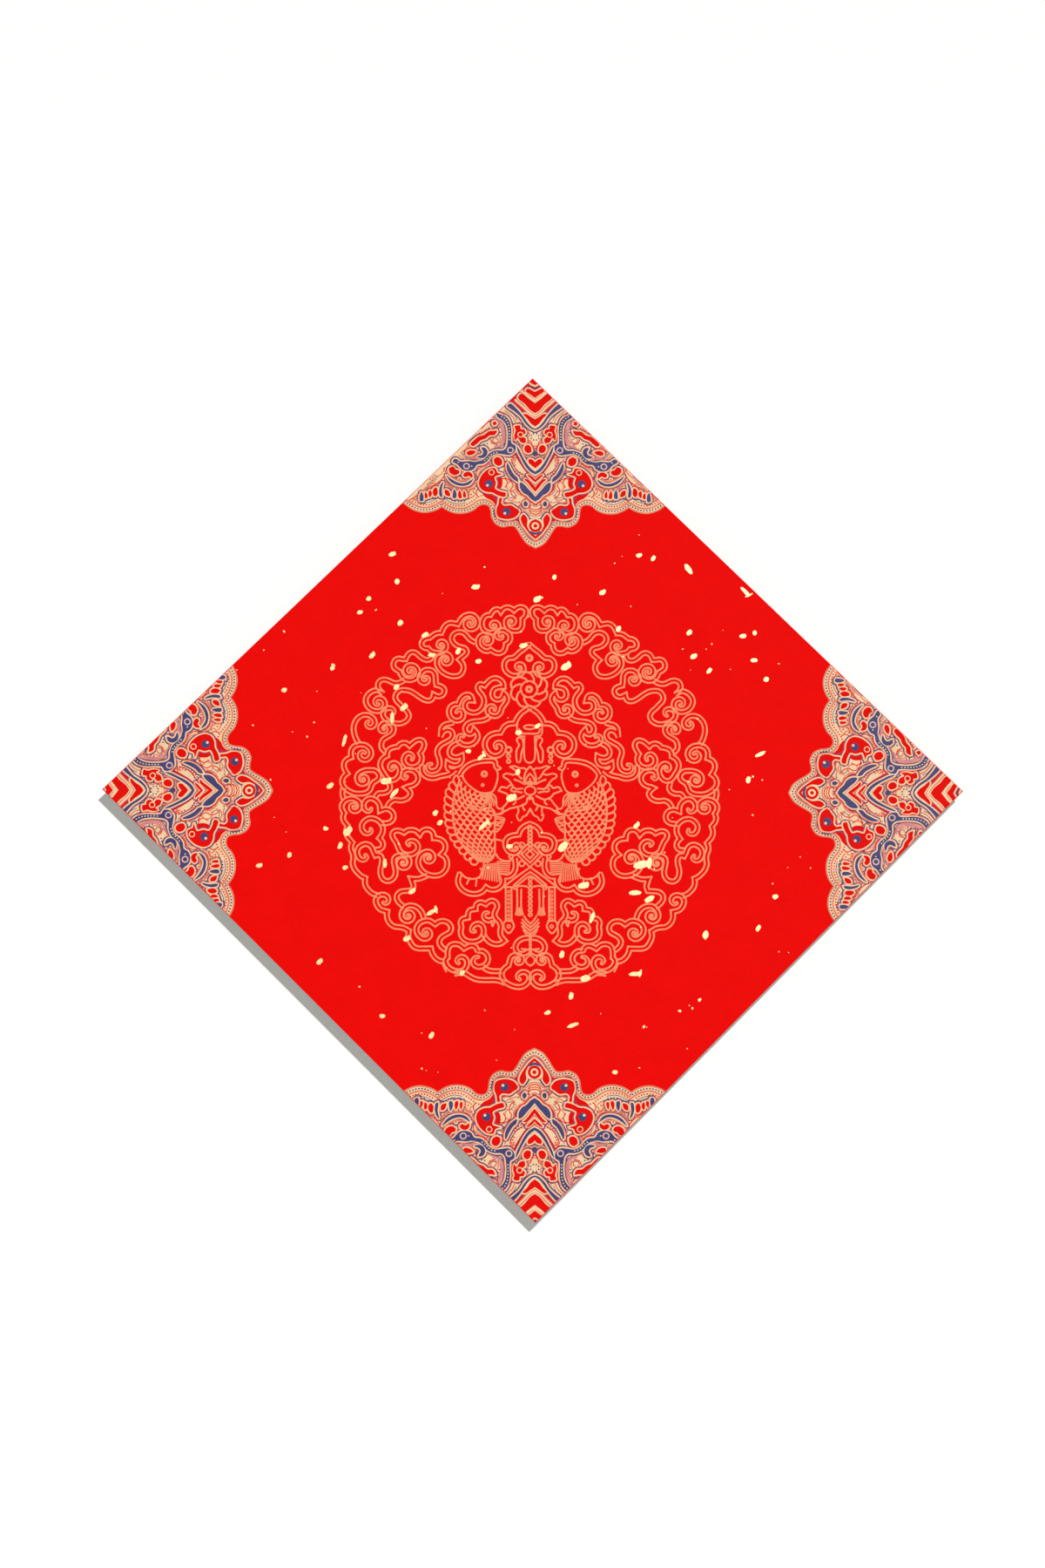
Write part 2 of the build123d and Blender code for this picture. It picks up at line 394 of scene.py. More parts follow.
def leaf_fleck_tree():
    """A scrap of beaten leaf on every point, stretched by "reach" and turned by "turn", its edge torn."""
    tree, given = start_tree("leaf fleck", Leaf_height=0.04, Tear=0.3, Tear_size=1.3)
    scrap = node(tree, "GeometryNodeMeshCylinder",
                 {"Vertices": 10, "Radius": 1.0, "Depth": given.outputs["Leaf height"]}, fill_type="NGON")
    reach = node(tree, "GeometryNodeInputNamedAttribute", {"Name": "reach"}, data_type="FLOAT_VECTOR")
    turn = node(tree, "GeometryNodeInputNamedAttribute", {"Name": "turn"}, data_type="FLOAT_VECTOR")
    placed = node(tree, "GeometryNodeInstanceOnPoints",
                  {"Points": given.outputs["Mesh"], "Instance": scrap.outputs["Mesh"],
                   "Rotation": turn.outputs["Attribute"], "Scale": reach.outputs["Attribute"]})
    real = node(tree, "GeometryNodeRealizeInstances", {0: placed.outputs[0]})
    place = node(tree, "GeometryNodeInputPosition")
    flat = node(tree, "ShaderNodeVectorMath", {0: place.outputs[0], 1: (1, 1, 0)}, operation="MULTIPLY")
    size = node(tree, "ShaderNodeMath", {0: 1.0, 1: given.outputs["Tear size"]}, operation="DIVIDE")
    noise = node(tree, "ShaderNodeTexNoise",
                 {"Vector": flat.outputs[0], "Scale": size.outputs[0], "Detail": 2.0})
    centred = node(tree, "ShaderNodeVectorMath",
                   {0: noise.outputs["Color"], 1: (0.5, 0.5, 0.5)}, operation="SUBTRACT")
    amount = node(tree, "ShaderNodeMath", {0: given.outputs["Tear"], 1: 4.0}, operation="MULTIPLY")
    level = node(tree, "ShaderNodeCombineXYZ", {"X": amount.outputs[0], "Y": amount.outputs[0], "Z": 0.0})
    torn = node(tree, "ShaderNodeVectorMath",
                {0: centred.outputs[0], 1: level.outputs[0]}, operation="MULTIPLY")
    moved = node(tree, "GeometryNodeSetPosition", {"Geometry": real.outputs[0], "Offset": torn.outputs[0]})
    return end_tree(tree, moved.outputs[0], given)


TREES = {
    "line": printed_line_tree(),
    "patch": filled_patch_tree(),
    "bead": bead_ring_tree(),
    "leaf": leaf_fleck_tree(),
}


def grown(kind, base, material, **sizes):
    """Runs one of the trees over a base mesh and gives back the plain mesh that it makes."""
    tree = TREES[kind]
    carrier = bpy.data.objects.new("carrier", base)
    bpy.context.scene.collection.objects.link(carrier)
    grower = carrier.modifiers.new(tree.name, "NODES")
    grower.node_group = tree
    wanted = {name.replace("_", " "): value for name, value in sizes.items()}
    wanted["Material"] = material
    for item in tree.interface.items_tree:
        if item.in_out == "INPUT" and item.name in wanted:
            grower[item.identifier] = wanted[item.name]
    graph = bpy.context.evaluated_depsgraph_get()
    mesh = bpy.data.meshes.new_from_object(carrier.evaluated_get(graph))
    carrier.modifiers.remove(grower)
    bpy.data.objects.remove(carrier)
    return mesh


def rounded_ends(line, width):
    """The line with a half-round nib at both ends, and the nib's share of the full width at each point."""
    if np.allclose(line[0], line[-1]):
        line = line + 0.0
        line[-1] = line[0]
    tip = np.radians(NIB_ANGLES)
    start, end = line[0] - line[1], line[-1] - line[-2]
    start, end = start / np.linalg.norm(start), end / np.linalg.norm(end)
    before = line[0] + np.outer(np.sin(tip), start) * width / 2
    after = line[-1] + np.outer(np.sin(tip[::-1]), end) * width / 2
    nib = np.concatenate([np.cos(tip), np.ones(len(line)), np.cos(tip[::-1])])
    return np.vstack([before, line, after]), nib


def drawn(lines, material, width=LINE, ink=INK, lift=0.0):
    """Printed lines of one width, on the paper or lifted onto the inks below."""
    points, edges, nibs = [], [], []
    for line in lines:
        capped, nib = rounded_ends(line, width)
        first = len(points)
        points += [(x, z, lift) for x, z in capped]
        edges += [(i, i + 1) for i in range(first, len(points) - 1)]
        nibs += list(nib)
    base = bpy.data.meshes.new("lines")
    base.from_pydata(points, edges, [])
    base.attributes.new("nib", "FLOAT", "POINT").data.foreach_set("value", nibs)
    return grown("line", base, material, Line_width=width, Ink_height=ink + SOAK)


def filled(shapes, material, ink=INK):
    """Printed patches. An item is one outline, or a list of outlines where the later ones are holes."""
    points, edges, numbers = [], [], []
    for number, shape in enumerate(shapes):
        for loop in shape if isinstance(shape, list) else [shape]:
            first, count = len(points), len(loop)
            points += [(x, z, 0.0) for x, z in loop]
            edges += [(first + i, first + (i + 1) % count) for i in range(count)]
            numbers += [number] * count
    base = bpy.data.meshes.new("patches")
    base.from_pydata(points, edges, [])
    base.attributes.new("patch", "INT", "POINT").data.foreach_set("value", numbers)
    return grown("patch", base, material, Ink_height=ink + SOAK)


def dots_mesh(places):
    """A mesh of bare points."""
    base = bpy.data.meshes.new("places")
    base.from_pydata([(x, z, 0.0) for x, z in places], [], [])
    return base


def beads(places, material, outer, hole, ink=INK):
    """Round beads with a hole."""
    return grown("bead", dots_mesh(places), material,
                 Outer_radius=outer, Hole_radius=hole, Ink_height=ink + SOAK)


def trimmed(form, planes):
    """Cuts away what lies beyond each plane, given as a point and a direction, and closes the cut."""
    for point, direction in planes:
        everything = [*form.verts, *form.edges, *form.faces]
        bmesh.ops.bisect_plane(form, geom=everything, plane_co=point, plane_no=direction, clear_outer=True)
        rims = [edge for edge in form.edges if edge.is_boundary]
        bmesh.ops.holes_fill(form, edges=rims, sides=0)


def printed_piece(name, meshes, material, stands_for=(), cut_at=None, base=0.0):
    """Joins flat meshes into one piece on the printed face, which rides with the sheet.

    The base raises the piece, and the cut trims it to a diamond whose corners are that far from the middle.
    """
    form = bmesh.new()
    for mesh in meshes:
        form.from_mesh(mesh)
        bpy.data.meshes.remove(mesh)
    if cut_at is not None:
        trimmed(form, [((cut_at * sx, 0, 0), (sx, sz, 0)) for sx in (1, -1) for sz in (1, -1)])
    lift = PAPER_FRONT - SOAK + base
    form.transform(Matrix(((MM, 0, 0, 0), (0, 0, -MM, -lift * MM), (0, MM, 0, 0), (0, 0, 0, 1))))
    bmesh.ops.dissolve_degenerate(form, dist=1e-7, edges=form.edges)
    mesh = bpy.data.meshes.new(name)
    form.to_mesh(mesh)
    form.free()
    mesh.materials.clear()
    mesh.materials.append(material)
    mesh.polygons.foreach_set("material_index", [0] * len(mesh.polygons))
    mesh.polygons.foreach_set("use_smooth", [False] * len(mesh.polygons))
    piece = bpy.data.objects.new(name, mesh)
    bpy.context.scene.collection.objects.link(piece)
    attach(piece, "root")
    if stands_for:
        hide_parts(*stands_for)
    return piece


# ---------------------------------------------------------------------------------------------------------
# Materials. Patterns read Object coordinates, and their scales come from sizes in millimetres.
# ---------------------------------------------------------------------------------------------------------

def linear(hex_colour):
    """An sRGB hex colour as linear red, green, blue and alpha."""
    values = [int(hex_colour[i:i + 2], 16) / 255 for i in (0, 2, 4)]
    return (*[v / 12.92 if v <= 0.04045 else ((v + 0.055) / 1.055) ** 2.4 for v in values], 1.0)


def per(size):
    """A texture scale whose features are this many millimetres across."""
    return 1 / (size * MM)


def start_material(name, **settings):
    """A material with a Principled shader, set on its own sockets, and Object coordinates to draw on."""
    material = bpy.data.materials.new(name)
    material.use_nodes = True
    tree = material.node_tree
    tree.nodes.clear()
    shader = node(tree, "ShaderNodeBsdfPrincipled",
                  {socket.replace("_", " "): value for socket, value in settings.items()})
    node(tree, "ShaderNodeOutputMaterial", {"Surface": shader.outputs[0]})
    place = node(tree, "ShaderNodeTexCoord")
    return material, tree, shader, place.outputs["Object"]


def graded(tree, factor, stops):
    """A colour ramp from (position, hex colour) stops."""
    ramp = node(tree, "ShaderNodeValToRGB", {"Fac": factor})
    band = ramp.color_ramp
    while len(band.elements) < len(stops):
        band.elements.new(0.5)
    for element, (position, colour) in zip(band.elements, stops):
        element.position = position
        element.color = linear(colour)
    return ramp.outputs["Color"]


def noise(tree, place, size, detail, **more):
    """Fractal noise with features this many millimetres across."""
    inputs = {"Vector": place, "Scale": per(size), "Detail": detail, **more}
    return node(tree, "ShaderNodeTexNoise", inputs).outputs["Fac"]


def averaged(tree, first, second):
    """The mean of two patterns."""
    both = node(tree, "ShaderNodeMath", {0: first, 1: second}, operation="ADD")
    return node(tree, "ShaderNodeMath", {0: both.outputs[0], 1: 0.5}, operation="MULTIPLY").outputs[0]


def roughened(tree, shader, pattern, low, high):
    """Roughness that follows a pattern between two values."""
    dull = node(tree, "ShaderNodeMapRange", {"Value": pattern, "To Min": low, "To Max": high})
    tree.links.new(dull.outputs[0], shader.inputs["Roughness"])


def embossed(tree, shader, pattern, strength, depth):
    """A pattern pressed into the surface, its depth in millimetres."""
    bump = node(tree, "ShaderNodeBump", {"Height": pattern, "Strength": strength, "Distance": depth * MM})
    tree.links.new(bump.outputs[0], shader.inputs["Normal"])


def dyed_paper():
    """Dyed, wax-calendered paper: a strong red with slow mottling, a fibre tooth and a faint waxy sheen."""
    material, tree, shader, place = start_material("dyed_calendered_paper", IOR=1.47, Specular_IOR_Level=0.04)
    mottle = noise(tree, place, 14, 3.0, Roughness=0.6)
    cloudy = graded(tree, mottle, [(0.3, "DE0200"), (0.7, "E60400")])
    # Fibres are about 0.03 mm wide; they are drawn 0.3 mm wide so that they show.
    along = node(tree, "ShaderNodeMapping", {"Vector": place, "Rotation": (0, 0.5, 0), "Scale": (1, 1, 6)})
    fibre = noise(tree, along.outputs[0], 1.8, 5.0)
    streak = graded(tree, fibre, [(0.42, "D60200"), (0.62, "EC0500")])
    # Inputs 6 and 7 are the two colours, and output 2 is their mix.
    toned = node(tree, "ShaderNodeMix", {"Factor": 0.35, 6: cloudy, 7: streak}, data_type="RGBA")
    tree.links.new(toned.outputs[2], shader.inputs["Base Color"])
    tooth = noise(tree, place, 0.45, 4.0)
    roughened(tree, shader, tooth, 0.55, 0.70)
    embossed(tree, shader, tooth, 0.25, 0.03)
    return material


def printing_ink(name, pale, deep, roughness, level=0.3):
    """Screen-printed ink: slow changes in how thickly it lies, a pigment grain and a satin skin."""
    material, tree, shader, place = start_material(name, IOR=1.5, Specular_IOR_Level=level)
    load = noise(tree, place, 7, 2.0)
    # Pigment grains are about 0.02 mm; the grain is drawn at 0.35 mm so that it shows.
    grain = noise(tree, place, 0.35, 3.0)
    cover = averaged(tree, load, grain)
    tree.links.new(graded(tree, cover, [(0.36, deep), (0.64, pale)]), shader.inputs["Base Color"])
    roughened(tree, shader, grain, roughness - 0.06, roughness + 0.1)
    embossed(tree, shader, grain, 0.2, 0.02)
    return material


def salmon_gold_ink():
    """Bronze-powder ink over red: a warm salmon gold that goes paler where it lies thick."""
    return printing_ink("salmon_gold_bronze_ink", "F19269", "E67A52", 0.5, level=0.12)


def cream_gold_ink():
    """Pale bronze-powder ink: the light cream-gold of the corners' ground and of the rims of motifs."""
    return printing_ink("cream_gold_bronze_ink", "EBCCA3", "DDB68C", 0.45, level=0.2)


def coral_ink():
    """Coral ink: the salmon outlines and scrolls on the cream ground."""
    return printing_ink("coral_ink", "E08262", "CC6648", 0.48, level=0.2)


def red_ink():
    """Opaque red ink over the cream ground, a shade cooler than the paper."""
    return printing_ink("opaque_red_ink", "E00800", "D20400", 0.6, level=0.05)


def navy_ink():
    """Dense navy ink with a slight violet cast."""
    return printing_ink("navy_ink", "3D3972", "2E2B5C", 0.48, level=0.2)


def mauve_ink():
    """Thin mauve ink between the navy and the cream."""
    return printing_ink("mauve_ink", "BE86A4", "A56C92", 0.5)


def gold_leaf():
    """Beaten imitation gold leaf: pale, crinkled and part mirror, part powder."""
    material, tree, shader, place = start_material("beaten_gold_leaf", Metallic=0.45)
    crease = node(tree, "ShaderNodeTexVoronoi", {"Vector": place, "Scale": per(0.9)}, feature="SMOOTH_F1")
    fine = noise(tree, place, 0.3, 3.0)
    shade = graded(tree, crease.outputs["Distance"], [(0.1, "F1D09C"), (0.8, "E0B27A")])
    tree.links.new(shade, shader.inputs["Base Color"])
    roughened(tree, shader, fine, 0.28, 0.5)
    embossed(tree, shader, crease.outputs["Distance"], 0.5, 0.08)
    return material


def fibrous(name, pale, deep, fibre_size, roughness, tooth):
    """Uncoated paper stock: tangled fibres in two tones, with their tooth in the surface."""
    material, tree, shader, place = start_material(name, IOR=1.47, Specular_IOR_Level=0.25)
    tangle = noise(tree, place, fibre_size, 6.0, Roughness=0.65, Distortion=1.5)
    cloud = noise(tree, place, 25, 2.0)
    tone = averaged(tree, tangle, cloud)
    tree.links.new(graded(tree, tone, [(0.35, deep), (0.65, pale)]), shader.inputs["Base Color"])
    roughened(tree, shader, tangle, roughness - 0.08, roughness + 0.08)
    embossed(tree, shader, tangle, 0.5, tooth)
    return material


def lining_paper():
    """Uncoated lining paper: off-white, matt, with long fibres showing."""
    return fibrous("uncoated_lining_paper", "EFEDE6", "DDD9CE", 1.6, 0.85, 0.06)


def grey_board():
    """Cut grey board: recycled pulp, mid grey with pale and dark specks."""
    return fibrous("cut_grey_board", "BFBCB4", "8E8B84", 0.5, 0.9, 0.08)


def dried_paste():
    """Dried starch paste: a thin yellowish film with a dull gloss."""
    return fibrous("dried_starch_paste", "ECE3C8", "D8CBA6", 0.8, 0.55, 0.03)


def painted_wall():
    """Matt wall paint, near white and faintly rolled.

    It is open from behind, and to shadow and diffuse rays, so the sheet's back is seen and takes the light.
    """
    material, tree, shader, place = start_material("matt_wall_paint", Roughness=0.9, Specular_IOR_Level=0.1)
    roller = noise(tree, place, 3, 3.0)
    coat = graded(tree, roller, [(0.3, "F4F4F3"), (0.7, "F7F7F6")])
    tree.links.new(coat, shader.inputs["Base Color"])
    facing = node(tree, "ShaderNodeNewGeometry")
    ray = node(tree, "ShaderNodeLightPath")
    either = node(tree, "ShaderNodeMath",
                  {0: facing.outputs["Backfacing"], 1: ray.outputs["Is Shadow Ray"]}, operation="MAXIMUM")
    open_to = node(tree, "ShaderNodeMath",
                   {0: either.outputs[0], 1: ray.outputs["Is Diffuse Ray"]}, operation="MAXIMUM")
    through = node(tree, "ShaderNodeBsdfTransparent")
    shown = node(tree, "ShaderNodeMixShader", {0: open_to.outputs[0]})
    tree.links.new(shader.outputs[0], shown.inputs[1])
    tree.links.new(through.outputs[0], shown.inputs[2])
    output = next(n for n in tree.nodes if n.bl_idname == "ShaderNodeOutputMaterial")
    tree.links.new(shown.outputs[0], output.inputs["Surface"])
    return material


def floor_lino():
    """Pale matt floor covering with a faint mottle."""
    return fibrous("pale_floor_lino", "EDECE9", "E4E2DE", 12, 0.8, 0.05)


SALMON = salmon_gold_ink()
CREAM = cream_gold_ink()
CORAL = coral_ink()
RED = red_ink()
NAVY = navy_ink()
MAUVE = mauve_ink()
LEAF = gold_leaf()


# ---------------------------------------------------------------------------------------------------------
# The medallion. Only the left half is drawn; the right half is its mirror image.
# ---------------------------------------------------------------------------------------------------------

